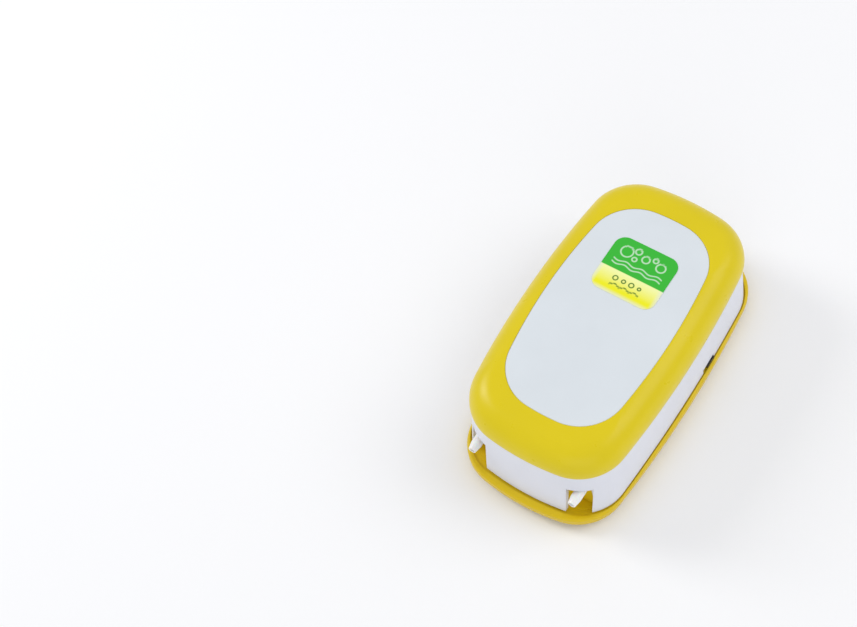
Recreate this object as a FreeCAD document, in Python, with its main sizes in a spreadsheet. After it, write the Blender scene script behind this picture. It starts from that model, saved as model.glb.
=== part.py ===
"""Twin-outlet, two-speed aquarium air pump of the vibrating-arm kind.

Millimetres. The origin is the centre of the footprint on the floor, +Z is up, the two outlets look
towards -Y and the speed switch sits on the +X side.

An E core drives two magnet arms in opposite directions. Each arm works one rubber diaphragm, and
each diaphragm feeds its own outlet. Right-hand pieces are drawn and left-hand ones mirror them.
"""

import FreeCAD, Part
import math
import os
from types import SimpleNamespace

import Sketcher

V = FreeCAD.Vector
Rotation = FreeCAD.Rotation

UPRIGHT = Rotation()
TO_RIGHT = Rotation(V(0, 1, 0), 90)
TO_LEFT = Rotation(V(0, 1, 0), -90)
TO_FRONT = Rotation(V(1, 0, 0), 90)
TO_REAR = Rotation(V(1, 0, 0), -90)

SIZES = {
    # how far the base tray stands out past the casing, and the radii its plan is drawn with
    "base_rim_side": 1.85,
    "base_rim_end": 4.5,
    "base_side_radius": 596.0,
    "base_end_radius": 110.0,
    "base_corner_radius": 23.8,
    "base_height": 6.0,
    "base_floor": 2.4,
    "base_under_round": 2.4,
    "base_rim_round": 1.2,
    "foot_stand": 3.0,
    # middle casing, which narrows upwards
    "casing_width": 80.8,
    "casing_length": 152.7,
    "casing_side_radius": 832.0,
    "casing_end_radius": 127.0,
    "casing_corner_radius": 22.6,
    "casing_draft_side": 1.1,
    "casing_draft_end": 2.6,
    "casing_wall": 2.2,
    "casing_joint": 0.3,
    "shadow_groove_side": 0.5,
    "shadow_groove_end": 1.1,
    "shadow_groove_depth": 0.9,
    # coloured lid ring, which overhangs the casing, and the panel let into it
    "lid_step_side": 0.85,
    "lid_step_end": -1.15,
    "lid_side_radius": 501.0,
    "lid_end_radius": 124.0,
    "lid_corner_radius": 24.3,
    "lid_height": 15.5,
    "lid_lap": 1.3,
    "lid_thick": 2.4,
    "lid_round": 12.5,
    "overall_height": 58.5,
    "crown_radius": 850.0,
    "panel_border_side": 10.15,
    "panel_border_end": 17.95,
    "panel_side_radius": 288.0,
    "panel_end_radius": 98.0,
    "panel_corner_radius": 22.9,
    "panel_sink": 0.3,
    "panel_gap": 0.15,
    "badge_width": 32.0,
    "badge_length": 30.0,
    "badge_from_centre": 8.7,
    "badge_corner": 5.5,
    "badge_thick": 0.2,
    # fits
    "tongue_thick": 1.6,
    "tongue_rise": 3.0,
    "tongue_clearance": 0.25,
    "pin_clearance": 0.05,
    "slip": 0.1,
    # outlets and their bays
    "outlet_offset": 26.0,
    "outlet_height": 27.0,
    "outlet_radius": 2.5,
    "outlet_bore": 1.3,
    "outlet_length": 12.0,
    "outlet_tip_radius": 1.9,
    "bay_width": 10.5,
    "bay_rise": 21.5,
    "bay_setback": 15.85,
    "bay_wall": 2.0,
    "hose_radius": 3.25,
    "hose_bore": 2.05,
    # suction-cup feet
    "foot_from_side": 11.9,
    "foot_from_front": 24.35,
    "foot_from_rear": 18.35,
    "foot_radius": 8.0,
    "foot_neck": 2.5,
    # casing screws
    "screw_x": 13.0,
    "screw_from_end": 10.35,
    "screw_radius": 1.4,
    "screw_head": 2.6,
    # pump heads; distances named behind_bay run rearwards from the bays' back walls
    "head_behind_bay": 39.0,
    "head_face": 18.5,
    "head_plate": 2.5,
    "head_square": 30.0,
    "head_cover_depth": 10.5,
    "head_wall": 2.0,
    "head_screw_reach": 12.4,
    "collar_radius": 13.0,
    "collar_depth": 5.0,
    "port_radius": 2.0,
    "port_offset": 6.0,
    "flap_width": 6.0,
    "flap_thick": 0.5,
    "flap_bead": 0.6,
    "diaphragm_boss": 5.0,
    "washer_thick": 0.6,
    # magnet arms
    "pivot_x": 7.5,
    "pivot_behind_bay": 13.0,
    "pivot_pin": 1.5,
    "pivot_low": 20.0,
    "pivot_high": 34.0,
    "arm_thick": 3.0,
    "arm_height": 10.0,
    "magnet_x": 10.5,
    "magnet_width": 12.0,
    "magnet_thick": 3.0,
    "magnet_height": 16.0,
    "air_gap": 1.5,
    # electromagnet
    "core_behind_bay": 71.0,
    "core_leg": 7.0,
    "core_window": 7.0,
    "core_depth": 32.0,
    "core_yoke": 8.0,
    "core_low": 19.0,
    "lamination": 0.5,
    "lamination_gap": 0.04,
    "bobbin_wall": 1.0,
    "coil_depth": 5.0,
    # speed switch
    "switch_behind_bay": 88.45,
    "switch_knob_length": 6.0,
    "switch_knob_proud": 0.7,
    "switch_travel": 3.0,
    "switch_from_side": 11.9,
    # supply lead gland
    "gland_bore": 3.1,
    "gland_height": 18.0,
    # intake filter
    "filter_width": 30.0,
    "filter_length": 26.0,
    "filter_behind_bay": 44.0,
    "lead_radius": 0.65,
}


class Size:
    """A length together with the spreadsheet formula it comes from."""

    def __init__(self, value, formula):
        self.value = float(value)
        self.formula = formula

    def joined(self, other, sign, value):
        return Size(value, f"({self.formula} {sign} {other.formula})")

    def __add__(self, other):
        other = as_size(other)
        return self.joined(other, "+", self.value + other.value)

    def __sub__(self, other):
        other = as_size(other)
        return self.joined(other, "-", self.value - other.value)

    def __mul__(self, other):
        other = as_size(other)
        return self.joined(other, "*", self.value * other.value)

    def __truediv__(self, other):
        other = as_size(other)
        return self.joined(other, "/", self.value / other.value)

    def __radd__(self, other):
        return as_size(other) + self

    def __rsub__(self, other):
        return as_size(other) - self

    def __rmul__(self, other):
        return as_size(other) * self

    def __neg__(self):
        return as_size(0) - self


def as_size(value):
    """Wraps a plain number, so that it can stand beside named sizes."""
    return value if isinstance(value, Size) else Size(value, repr(float(value)))


def make_sheet(document):
    """Writes every driving size into the spreadsheet and returns them as Size values."""
    sheet = document.addObject("Spreadsheet::Sheet", "Sizes")
    for row, (name, value) in enumerate(SIZES.items(), start=1):
        sheet.set(f"A{row}", name)
        sheet.set(f"B{row}", repr(value))
        sheet.setAlias(f"B{row}", name)
    named = {name: Size(value, f"Sizes.{name}") for name, value in SIZES.items()}
    return SimpleNamespace(**named)


doc = FreeCAD.newDocument("air_pump")
d = make_sheet(doc)
doc.recompute()
nodes = []

# outlines and places that follow the casing
d.base_width = d.casing_width + d.base_rim_side * 2
d.base_length = d.casing_length + d.base_rim_end * 2
d.lid_width = d.casing_width + d.lid_step_side * 2
d.lid_length = d.casing_length + d.lid_step_end * 2
d.panel_width = d.lid_width - d.panel_border_side * 2
d.panel_length = d.lid_length - d.panel_border_end * 2
d.lid_bottom = d.overall_height - d.lid_height
d.foot_x = d.casing_width / 2 - d.foot_from_side
d.foot_front_y = d.casing_length / 2 - d.foot_from_front
d.foot_rear_y = d.casing_length / 2 - d.foot_from_rear
d.screw_y = d.casing_length / 2 - d.screw_from_end
d.bay_back = d.bay_setback - d.base_length / 2
d.pivot_y = -(d.bay_back + d.pivot_behind_bay)
d.head_y = -(d.bay_back + d.head_behind_bay)
d.filter_y = -(d.bay_back + d.filter_behind_bay)
d.core_front = d.bay_back + d.core_behind_bay
d.switch_y = d.bay_back + d.switch_behind_bay
d.switch_board_x = d.casing_width / 2 - d.switch_from_side


# ---------------------------------------------------------------- building blocks


def keep(shape_object, label):
    """Marks an object as a finished piece of the pump."""
    shape_object.Label = label
    nodes.append(shape_object)
    return shape_object


def bind(target, prop, value):
    target.setExpression(prop, as_size(value).formula)


def place(target, at, turn=UPRIGHT):
    """Puts an object at a point given in Sizes, after turning it."""
    values = [as_size(v).value for v in at]
    target.Placement = FreeCAD.Placement(V(*values), turn)
    for letter, value in zip("xyz", at):
        bind(target, f"Placement.Base.{letter}", value)
    return target


def box(name, x, y, z):
    """A box between two corners; each argument is a (low, high) pair."""
    made = doc.addObject("Part::Box", name)
    for prop, (low, high) in zip(("Length", "Width", "Height"), (x, y, z)):
        bind(made, prop, high - as_size(low))
    return place(made, (x[0], y[0], z[0]))


def rod(name, radius, at, length, turn=UPRIGHT):
    """A cylinder that starts at a point and runs along its turned Z axis."""
    made = doc.addObject("Part::Cylinder", name)
    bind(made, "Radius", radius)
    bind(made, "Height", length)
    return place(made, at, turn)


def fused(name, parts):
    made = doc.addObject("Part::MultiFuse", name)
    made.Shapes = parts
    return made


def cut(name, base, tools):
    made = doc.addObject("Part::Cut", name)
    made.Base = base
    made.Tool = tools[0] if len(tools) == 1 else fused(name + "_tools", tools)
    return made


def common(name, first, second):
    made = doc.addObject("Part::Common", name)
    made.Base = first
    made.Tool = second
    return made


def grouped(name, parts):
    """Keeps several like solids as one piece without joining them."""
    made = doc.addObject("Part::Compound", name)
    made.Links = parts
    return made


def mirrored(source, name):
    """The left-hand twin of a right-hand object."""
    made = doc.addObject("Part::Mirroring", name)
    made.Source = source
    made.Base = V(0, 0, 0)
    made.Normal = V(1, 0, 0)
    return made


def both_sides(make, label):
    """Keeps a right-hand piece and its mirrored left-hand twin."""
    right = keep(make(label + "_right"), label + "_right")
    keep(mirrored(right, label + "_left"), label + "_left")
    return right


def sketch_in(body, role, name):
    """A sketch lying flat on one of the body's own origin planes."""
    plane = next(f for f in body.Origin.OriginFeatures if f.Role == role)
    sketch = body.newObject("Sketcher::SketchObject", name)
    sketch.AttachmentSupport = [(plane, "")]
    sketch.MapMode = "FlatFace"
    return sketch


def fix_point(sketch, geometry, corner, point):
    """Holds one sketch point at a pair of Sizes measured from the sketch origin."""
    for kind, value, axis in zip(("DistanceX", "DistanceY"), point, (-2, -1)):
        value = as_size(value)
        if value.value == 0:
            sketch.addConstraint(Sketcher.Constraint("PointOnObject", geometry, corner, axis))
            continue
        ends = (-1, 1, geometry, corner)
        if value.value < 0:
            ends = (geometry, corner, -1, 1)
            value = -value
        index = sketch.addConstraint(Sketcher.Constraint(kind, *ends, value.value))
        sketch.setExpression(f"Constraints[{index}]", value.formula)


def polygon(sketch, points):
    """A closed outline of straight lines through points given in Sizes."""
    flat = [V(as_size(u).value, as_size(v).value, 0) for u, v in points]
    count = len(points)
    for i in range(count):
        sketch.addGeometry(Part.LineSegment(flat[i], flat[(i + 1) % count]))
    for i in range(count):
        follower = (i + 1) % count
        sketch.addConstraint(Sketcher.Constraint("Coincident", i, 2, follower, 1))
    for i, point in enumerate(points):
        fix_point(sketch, i, 1, point)


def turned(name, profile, at, turn=UPRIGHT):
    """A body of revolution; the profile is (radius, height) pairs round its own Z axis."""
    body = doc.addObject("PartDesign::Body", name)
    sketch = sketch_in(body, "XZ_Plane", name + "_profile")
    polygon(sketch, profile)
    turning = body.newObject("PartDesign::Revolution", name + "_turning")
    turning.Profile = sketch
    turning.ReferenceAxis = (sketch, ["V_Axis"])
    turning.Angle = 360
    body.Tip = turning
    return place(body, at, turn)


def prism(name, points, low, high):
    """A polygon raised between two levels."""
    body = doc.addObject("PartDesign::Body", name)
    sketch = sketch_in(body, "XY_Plane", name + "_plan")
    polygon(sketch, points)
    pad = body.newObject("PartDesign::Pad", name + "_pad")
    pad.Profile = sketch
    bind(pad, "Length", high - as_size(low))
    body.Tip = pad
    return place(body, (0, 0, low))


def rounded(body, radius, chosen):
    """Rounds the edges of a body's last feature that the given test picks out."""
    doc.recompute()
    last = body.Tip
    names = [f"Edge{i}" for i, edge in enumerate(last.Shape.Edges, start=1) if chosen(edge)]
    fillet = body.newObject("PartDesign::Fillet", f"{body.Name}_round_{len(body.Group)}")
    fillet.Base = (last, names)
    bind(fillet, "Radius", radius)
    body.Tip = fillet
    return body


def level_edge(level):
    """Picks the edges that lie at one height."""
    return lambda edge: all(abs(v.Point.z - level) < 1e-4 for v in edge.Vertexes)


def upright_edge(edge):
    first, last = edge.Vertexes[0].Point, edge.Vertexes[-1].Point
    return abs(first.z - last.z) > 1e-4 and abs(first.x - last.x) + abs(first.y - last.y) < 1e-6


# ---------------------------------------------------------------- crowned plan outlines


def plan_of(part, narrower=0, shorter=0):
    """Half width, half length and the three radii of the outline called base, casing, lid or panel."""
    half_width = getattr(d, part + "_width") / 2 - narrower
    half_length = getattr(d, part + "_length") / 2 - shorter
    radii = [getattr(d, f"{part}_{place}_radius") for place in ("side", "end", "corner")]
    return [half_width, half_length, *radii]


def inset(plan, step):
    """The same outline moved inwards all round."""
    return [value - step for value in plan]


def corner_centre(plan):
    """Where the corner arc of the first quadrant is centred: it touches the side and end arcs."""
    half_width, half_length, side, end, corner = [value.value for value in plan]
    x0, r0 = half_width - side, side - corner
    y1, r1 = half_length - end, end - corner
    apart = math.hypot(x0, y1)
    along = (r0 * r0 - r1 * r1 + apart * apart) / (2 * apart)
    across = math.sqrt(r0 * r0 - along * along)
    ux, uy = -x0 / apart, y1 / apart
    return x0 + along * ux - across * uy, along * uy + across * ux


def arc_between(sketch, centre, radius, start, stop):
    circle = Part.Circle(V(centre[0], centre[1], 0), V(0, 0, 1), radius)
    return sketch.addGeometry(Part.ArcOfCircle(circle, start, stop))


def crowned_outline(sketch, plan):
    """Two long side arcs, two end arcs and four corner arcs, all tangent to their neighbours."""
    half_width, half_length, side, end, corner = plan
    cx, cy = corner_centre(plan)
    side_x = (half_width - side).value
    end_y = (half_length - end).value
    a = math.atan2(cy, cx - side_x)
    b = math.atan2(cy - end_y, cx)
    half, whole = math.pi, 2 * math.pi
    arc_between(sketch, (side_x, 0), side.value, -a, a)
    arc_between(sketch, (cx, cy), corner.value, a, b)
    arc_between(sketch, (0, end_y), end.value, b, half - b)
    arc_between(sketch, (-cx, cy), corner.value, half - b, half - a)
    arc_between(sketch, (-side_x, 0), side.value, half - a, half + a)
    arc_between(sketch, (-cx, -cy), corner.value, half + a, half + b)
    arc_between(sketch, (0, -end_y), end.value, half + b, whole - b)
    arc_between(sketch, (cx, -cy), corner.value, whole - b, whole - a)
    for i in range(8):
        sketch.addConstraint(Sketcher.Constraint("Tangent", i, 2, (i + 1) % 8, 1))
    radii = [side, corner, end, corner] * 2
    for i, radius in enumerate(radii):
        index = sketch.addConstraint(Sketcher.Constraint("Radius", i, radius.value))
        sketch.setExpression(f"Constraints[{index}]", radius.formula)
    fix_point(sketch, 0, 3, (half_width - side, 0))
    fix_point(sketch, 4, 3, (side - half_width, 0))
    fix_point(sketch, 2, 3, (0, half_length - end))
    fix_point(sketch, 6, 3, (0, end - half_length))


def slab(name, plan, low, high):
    """A crowned outline raised between two levels, as a body that can still be rounded."""
    body = doc.addObject("PartDesign::Body", name)
    sketch = sketch_in(body, "XY_Plane", name + "_plan")
    crowned_outline(sketch, plan)
    pad = body.newObject("PartDesign::Pad", name + "_pad")
    pad.Profile = sketch
    bind(pad, "Length", high - as_size(low))
    body.Tip = pad
    return place(body, (0, 0, low))


def casing_hull(name, step):
    """The drafted volume of the casing below the lid, moved inwards by a step."""
    made = doc.addObject("Part::Loft", name)
    low = doc.addObject("Sketcher::SketchObject", name + "_low")
    crowned_outline(low, inset(plan_of("casing"), step))
    place(low, (0, 0, casing_bottom))
    high = doc.addObject("Sketcher::SketchObject", name + "_high")
    crowned_outline(high, inset(plan_of("casing", d.casing_draft_side, d.casing_draft_end), step))
    place(high, (0, 0, lid_seat))
    made.Sections = [low, high]
    made.Solid = True
    made.Ruled = True
    return made


def crown_cutter(body, name, top, reach):
    """Cuts a body down to a shallow sphere whose highest point is at the given level."""
    sketch = sketch_in(body, "XZ_Plane", name + "_crown")
    radius = d.crown_radius - (d.overall_height - top - body_low[body.Name])
    edge = math.acos(reach.value / radius.value)
    arc_between(sketch, (0, (top - radius).value), radius.value, edge, math.pi / 2)
    outer = V(reach.value, (top - radius).value + radius.value * math.sin(edge), 0)
    upper = (top + 10).value
    sketch.addGeometry(Part.LineSegment(outer, V(reach.value, upper, 0)))
    sketch.addGeometry(Part.LineSegment(V(reach.value, upper, 0), V(0, upper, 0)))
    sketch.addGeometry(Part.LineSegment(V(0, upper, 0), V(0, top.value, 0)))
    for first, second in (((0, 1), (1, 1)), ((1, 2), (2, 1)), ((2, 2), (3, 1)), ((3, 2), (0, 2))):
        sketch.addConstraint(Sketcher.Constraint("Coincident", *first, *second))
    sketch.addConstraint(Sketcher.Constraint("Vertical", 1))
    sketch.addConstraint(Sketcher.Constraint("Horizontal", 2))
    sketch.addConstraint(Sketcher.Constraint("PointOnObject", 0, 3, -2))
    index = sketch.addConstraint(Sketcher.Constraint("Radius", 0, radius.value))
    sketch.setExpression(f"Constraints[{index}]", radius.formula)
    fix_point(sketch, 0, 2, (0, top))
    fix_point(sketch, 2, 2, (0, top + 10))
    index = sketch.addConstraint(Sketcher.Constraint("DistanceX", -1, 1, 0, 1, reach.value))
    sketch.setExpression(f"Constraints[{index}]", reach.formula)
    groove = body.newObject("PartDesign::Groove", name + "_groove")
    groove.Profile = sketch
    groove.ReferenceAxis = (sketch, ["V_Axis"])
    groove.Angle = 360
    body.Tip = groove


body_low = {}


def crowned_cap(name, plan, sink, low, radius):
    """A slab with a shallow spherical top and a rounded shoulder, sunk below the overall height."""
    top = d.overall_height - sink - low
    body = slab(name, plan, low, d.overall_height + 1)
    body_low[body.Name] = low
    crown_cutter(body, name, top, plan[1] + 12)

    def shoulder(edge):
        ends = [vertex.Point for vertex in edge.Vertexes]
        flat = abs(ends[0].z - ends[-1].z) < 8
        at_pole = any(math.hypot(p.x, p.y) < 1 for p in ends)
        return flat and not at_pole and min(p.z for p in ends) > 1

    return rounded(body, radius, shoulder)


# ---------------------------------------------------------------- shared levels

base_top = d.foot_stand + d.base_height
floor_top = d.foot_stand + d.base_floor
casing_bottom = base_top + d.casing_joint
lid_seat = d.lid_bottom + d.lid_lap
bay_inner = d.outlet_offset - 5
bay_outer = bay_inner + d.bay_width
bay_top = base_top + d.bay_rise
bay_back = d.bay_back
front = -d.base_length / 2
cover_face = d.head_face + d.head_plate
cover_back = cover_face + d.head_cover_depth
head_low = d.outlet_height - d.head_square / 2
head_high = d.outlet_height + d.head_square / 2
head_front = -d.head_y - d.head_square / 2
head_rear = -d.head_y + d.head_square / 2
core_high = d.core_low + d.magnet_height
core_half = d.core_leg * 1.5 + d.core_window * 1.5
core_rear = d.core_front + d.core_depth
post_x = core_half - d.core_leg / 2
knob_low = base_top + 0.4
knob_high = knob_low + 2.5
slot_front = d.switch_y - d.switch_knob_length / 2 - d.switch_travel - 0.5
slot_rear = d.switch_y + d.switch_knob_length / 2 + 0.5
slot_high = knob_high + 0.4
wall_at_switch = d.casing_width / 2 - 0.5


# ---------------------------------------------------------------- base tray and what stands on it


def front_bay_walls(side):
    """The box behind one front notch, with the outlet standing in its back wall."""
    low_x, high_x = side_span(side, bay_inner - d.bay_wall, bay_outer + d.bay_wall)
    shell = box(f"bay_shell_{side}", (low_x, high_x), (front, bay_back + d.bay_wall),
                (floor_top, bay_top + d.bay_wall))
    trimmed = common(f"bay_walls_{side}", shell, casing_hull(f"bay_hull_{side}", bay_inset))
    sill = box(f"bay_sill_{side}", (low_x, high_x), (front, bay_back + d.bay_wall),
               (floor_top, base_top))
    return [trimmed, common(f"bay_sill_kept_{side}", sill, slab(f"bay_plan_{side}",
            inset(plan_of("casing"), 1), d.foot_stand, base_top))]


def side_span(side, low, high):
    """The x range of a right-hand feature, or of its left-hand twin."""
    return (low, high) if side == "right" else (-as_size(high), -as_size(low))


def side_x(side, x):
    return as_size(x) if side == "right" else -as_size(x)


def front_bay_room(side):
    """The open space inside one bay, with the hole that its outlet passes through."""
    room = box(f"bay_room_{side}", side_span(side, bay_inner, bay_outer),
               (front, bay_back), (base_top, bay_top))
    hole = rod(f"bay_hole_{side}", d.outlet_radius + outlet_shoulder + d.pin_clearance,
               (side_x(side, d.outlet_offset), bay_back - 1, d.outlet_height),
               d.bay_wall + 2, TO_REAR)
    return [room, hole]


def base_posts(side):
    """Posts for the arm pivot and the core, and the ribs that hold the pump head and the board."""
    cover_mid = (cover_face + cover_back) / 2
    ribs_x = side_span(side, cover_mid - 4, cover_mid + 3)
    made = [
        rod(f"pivot_post_{side}", 3.5, (side_x(side, d.pivot_x), -d.pivot_y, d.foot_stand),
            d.pivot_low - d.foot_stand),
        box(f"head_rib_front_{side}", ribs_x, (head_front + 2, head_front + 4),
            (d.foot_stand, floor_top + 3.6)),
        box(f"head_rib_rear_{side}", ribs_x, (head_rear - 4, head_rear - 2),
            (d.foot_stand, floor_top + 3.6)),
    ]
    for row, y in (("front", core_front_post), ("rear", core_rear_post)):
        made.append(rod(f"core_post_{row}_{side}", 3.4, (side_x(side, post_x), y, d.foot_stand),
                        d.core_low - d.foot_stand))
    return made


def base_bores(side):
    """Blind bores for the pins and screws that stand in the posts, and the foot holes."""
    made = [
        rod(f"pivot_bore_{side}", d.pivot_pin + d.pin_clearance,
            (side_x(side, d.pivot_x), -d.pivot_y, floor_top + 2.5), d.pivot_low),
        rod(f"core_bore_{side}", core_screw + d.pin_clearance,
            (side_x(side, post_x), core_rear_post, floor_top + 2.5), d.core_low),
    ]
    for row, y in (("front", -d.foot_front_y), ("rear", d.foot_rear_y)):
        made.append(rod(f"foot_hole_{row}_{side}", d.foot_neck + d.slip,
                        (side_x(side, d.foot_x), y, d.foot_stand - 1), d.base_floor + 2))
    return made


def casing_screw_places():
    return [(side, end, side_x(side, d.screw_x), y)
            for side in ("right", "left")
            for end, y in (("front", -d.screw_y), ("rear", d.screw_y))]


def filter_pocket():
    """The raised pocket in the floor that holds the intake filter, and its air holes."""
    half = d.filter_width / 2
    low_y, high_y = -d.filter_y - d.filter_length / 2, d.filter_length / 2 - d.filter_y
    shell = box("pocket_shell", (-half - 1.6, half + 1.6), (low_y - 1.6, high_y + 1.6),
                (d.foot_stand, pocket_top + 1.6))
    room = box("pocket_room", (-half, half), (low_y, high_y), (d.foot_stand - 1, pocket_top))
    holes = []
    for column in range(4):
        for row in range(3):
            x = (column - 1.5) * d.filter_width / 5
            y = (row - 1) * d.filter_length / 4 - d.filter_y
            holes.append(rod(f"pocket_hole_{column}_{row}", 1.2, (x, y, pocket_top - 1), 4))
    return shell, [room, *holes]


def shadow_groove():
    """A groove in the tray's rim, under and just outside the casing wall."""
    floor = base_top - d.shadow_groove_depth
    wide = slab("groove_outside", plan_of("casing", -d.shadow_groove_side, -d.shadow_groove_end),
                floor, base_top + 1)
    middle = slab("groove_inside", inset(plan_of("casing"), d.casing_wall), floor - 1, base_top + 2)
    return cut("groove", wide, [middle])


def make_base_tray():
    outer = rounded(slab("tray_block", plan_of("base"), d.foot_stand, base_top),
                    d.base_under_round, level_edge(0))
    rounded(outer, d.base_rim_round, level_edge(d.base_height.value))
    tongue = slab("tray_tongue", inset(plan_of("casing"), tongue_outer), floor_top,
                  base_top + d.tongue_rise)
    room = slab("tray_room", inset(plan_of("casing"), tongue_outer + d.tongue_thick), floor_top,
                base_top + d.tongue_rise + 1)
    switch_gap = box("tray_switch_gap", (wall_at_switch - 10, d.base_width / 2),
                     (slot_front - 3, slot_rear + 3), (base_top, base_top + d.tongue_rise + 1))
    gland_gap = box("tray_gland_gap", (-gland_pad - 1, gland_pad + 1),
                    (gland_outer - gland_depth - 2, d.base_length / 2),
                    (base_top, base_top + d.tongue_rise + 1))
    tray = cut("tray_hollow", fused("tray_solid", [outer, tongue]), [room, switch_gap, gland_gap])
    pocket, pocket_cuts = filter_pocket()
    adds = [tray, pocket]
    cuts = [*pocket_cuts, shadow_groove()]
    for side in ("right", "left"):
        adds += front_bay_walls(side) + base_posts(side)
        cuts += front_bay_room(side) + base_bores(side)
    adds.append(rod("bridge_post", 3.2, (0, -bridge_y, d.foot_stand),
                    d.pivot_high - d.foot_stand))
    cuts.append(rod("bridge_bore", d.screw_radius + d.pin_clearance,
                    (0, -bridge_y, d.pivot_high - 12), 14))
    for side, end, x, y in casing_screw_places():
        adds.append(rod(f"screw_pad_{side}_{end}", 4.5, (x, y, d.foot_stand), screw_pad_rise))
        cuts.append(rod(f"screw_sink_{side}_{end}", d.screw_head + d.slip,
                        (x, y, d.foot_stand - 1), 1 + screw_sink))
        cuts.append(rod(f"screw_hole_{side}_{end}", d.screw_radius + d.slip,
                        (x, y, d.foot_stand), screw_pad_rise + 1))
    for name, y in (("front", board_front), ("rear", board_rear - 4)):
        adds.append(box(f"board_rib_{name}", (d.switch_board_x - 1.2, d.switch_board_x + 2.8),
                        (y, y + 4), (d.foot_stand, floor_top + 4)))
    cuts.append(box("board_groove", (d.switch_board_x - 0.05, d.switch_board_x + 1.65),
                    (board_front - 1, board_rear + 1), (board_low, floor_top + 6)))
    return keep(cut("tray", fused("tray_whole", adds), cuts), "base_tray")


def make_foot(name, x, y):
    """A suction cup below the floor, its neck through the hole and its bulb inside."""
    stand = d.foot_stand
    profile = [(0, 1.3), (d.foot_radius - 3.4, 0.5), (d.foot_radius - 1.5, 0), (d.foot_radius, 0),
               (d.foot_radius, 0.6), (d.foot_radius - 3.2, stand - 0.6),
               (d.foot_neck + 2, stand), (d.foot_neck, stand), (d.foot_neck, floor_top),
               (d.foot_neck + 1.4, floor_top), (d.foot_neck + 1.3, floor_top + 0.9),
               (d.foot_neck - 0.8, floor_top + 3.2), (0, floor_top + 3.2)]
    return keep(turned(name, profile, (x, y, 0)), name)


def make_feet():
    for side in ("right", "left"):
        make_foot(f"foot_front_{side}", side_x(side, d.foot_x), -d.foot_front_y)
        make_foot(f"foot_rear_{side}", side_x(side, d.foot_x), d.foot_rear_y)


def screw(name, at, head_radius, head_height, shank_radius, shank_length, turn):
    """A pan-head screw with a cross recess; its head starts at the point given."""
    rim = head_height * 0.4
    profile = [(0, 0), (head_radius * 0.7, 0), (head_radius, rim), (head_radius, head_height),
               (shank_radius, head_height), (shank_radius, head_height + shank_length - 1),
               (shank_radius * 0.4, head_height + shank_length), (0, head_height + shank_length)]
    body = turned(name + "_turned", profile, (0, 0, 0))
    arm = head_radius * 0.55
    slots = [box(name + "_slot_a", (-arm, arm), (-0.35, 0.35), (-0.1, head_height * 0.5)),
             box(name + "_slot_b", (-0.35, 0.35), (-arm, arm), (-0.1, head_height * 0.5))]
    return place(cut(name, body, slots), at, turn)


def make_casing_screws():
    screws = []
    for side, end, x, y in casing_screw_places():
        screws.append(screw(f"casing_screw_{side}_{end}", (x, y, d.foot_stand + screw_sink - 2),
                            d.screw_head, 2, d.screw_radius, casing_screw_length, UPRIGHT))
    return keep(grouped("casing_screw_set", screws), "casing_screws")


# ---------------------------------------------------------------- casing, lid ring, panel, badge


def make_upper_casing():
    step = d.lid_thick + d.slip
    wall = casing_hull("casing_outside", 0)
    deck = crowned_cap("casing_deck", inset(plan_of("lid"), step), step, d.lid_bottom - 3,
                       d.lid_round - step)
    inner_wall = casing_hull("casing_inside", d.casing_wall)
    inner_step = step + d.casing_wall
    inner_deck = crowned_cap("casing_ceiling", inset(plan_of("lid"), inner_step), inner_step,
                             d.lid_bottom - 3, d.lid_round - inner_step)
    shell = cut("casing_shell", fused("casing_solid", [wall, deck]), [inner_wall, inner_deck])
    adds = [shell]
    cuts = []
    ceiling = fused("casing_room", [casing_hull("casing_boss_hull", d.casing_wall / 2),
                                    crowned_cap("casing_boss_deck", inset(plan_of("lid"), step + 1),
                                                step + 1, d.lid_bottom - 3, d.lid_round - step - 1)])
    bosses = []
    for side, end, x, y in casing_screw_places():
        bosses.append(rod(f"casing_boss_{side}_{end}", 3.5,
                          (x, y, d.foot_stand + screw_pad_rise + 0.1), d.overall_height))
        cuts.append(rod(f"casing_pilot_{side}_{end}", d.screw_radius + d.pin_clearance,
                        (x, y, d.foot_stand), screw_pad_rise + casing_screw_length))
    adds.append(common("casing_bosses", fused("casing_boss_rods", bosses), ceiling))
    adds.append(rod("gland_boss", gland_pad, (0, gland_outer, d.gland_height), gland_depth,
                    TO_FRONT))
    cuts.append(rod("gland_hole", gland_neck + d.slip, (0, gland_outer + 1, d.gland_height),
                    gland_depth + 2, TO_FRONT))
    for side in ("right", "left"):
        cuts.append(box(f"notch_{side}", side_span(side, bay_inner, bay_outer),
                        (front, bay_back - 1), (casing_bottom - 1, bay_top)))
    cuts.append(box("switch_slot", (wall_at_switch - 3, d.base_width), (slot_front, slot_rear),
                    (casing_bottom - 1, slot_high)))
    return keep(cut("casing", fused("casing_whole", adds), cuts), "upper_casing")


def make_bezel_ring():
    outer = crowned_cap("lid_outside", plan_of("lid"), as_size(0), d.lid_bottom, d.lid_round)
    inner = crowned_cap("lid_inside", inset(plan_of("lid"), d.lid_thick), d.lid_thick,
                        d.lid_bottom - 2, d.lid_round - d.lid_thick)
    window = slab("lid_window", plan_of("panel"), lid_seat, d.overall_height + 2)
    seat = casing_plan_at_lid()
    recess = slab("lid_recess", inset(seat, -d.slip), d.lid_bottom - 1, lid_seat)
    return keep(cut("lid_ring", outer, [inner, window, recess]), "bezel_ring")


def casing_plan_at_lid():
    return plan_of("casing", d.casing_draft_side, d.casing_draft_end)


def make_top_panel():
    plan = inset(plan_of("panel"), d.panel_gap)
    plate = crowned_cap("panel_plate", plan, d.panel_sink, d.lid_bottom - 2, as_size(0.5))
    under = crowned_cap("panel_under", inset(plan_of("lid"), d.lid_thick), d.lid_thick,
                        d.lid_bottom - 3, d.lid_round - d.lid_thick)
    return keep(cut("panel", plate, [under]), "top_panel")


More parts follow.
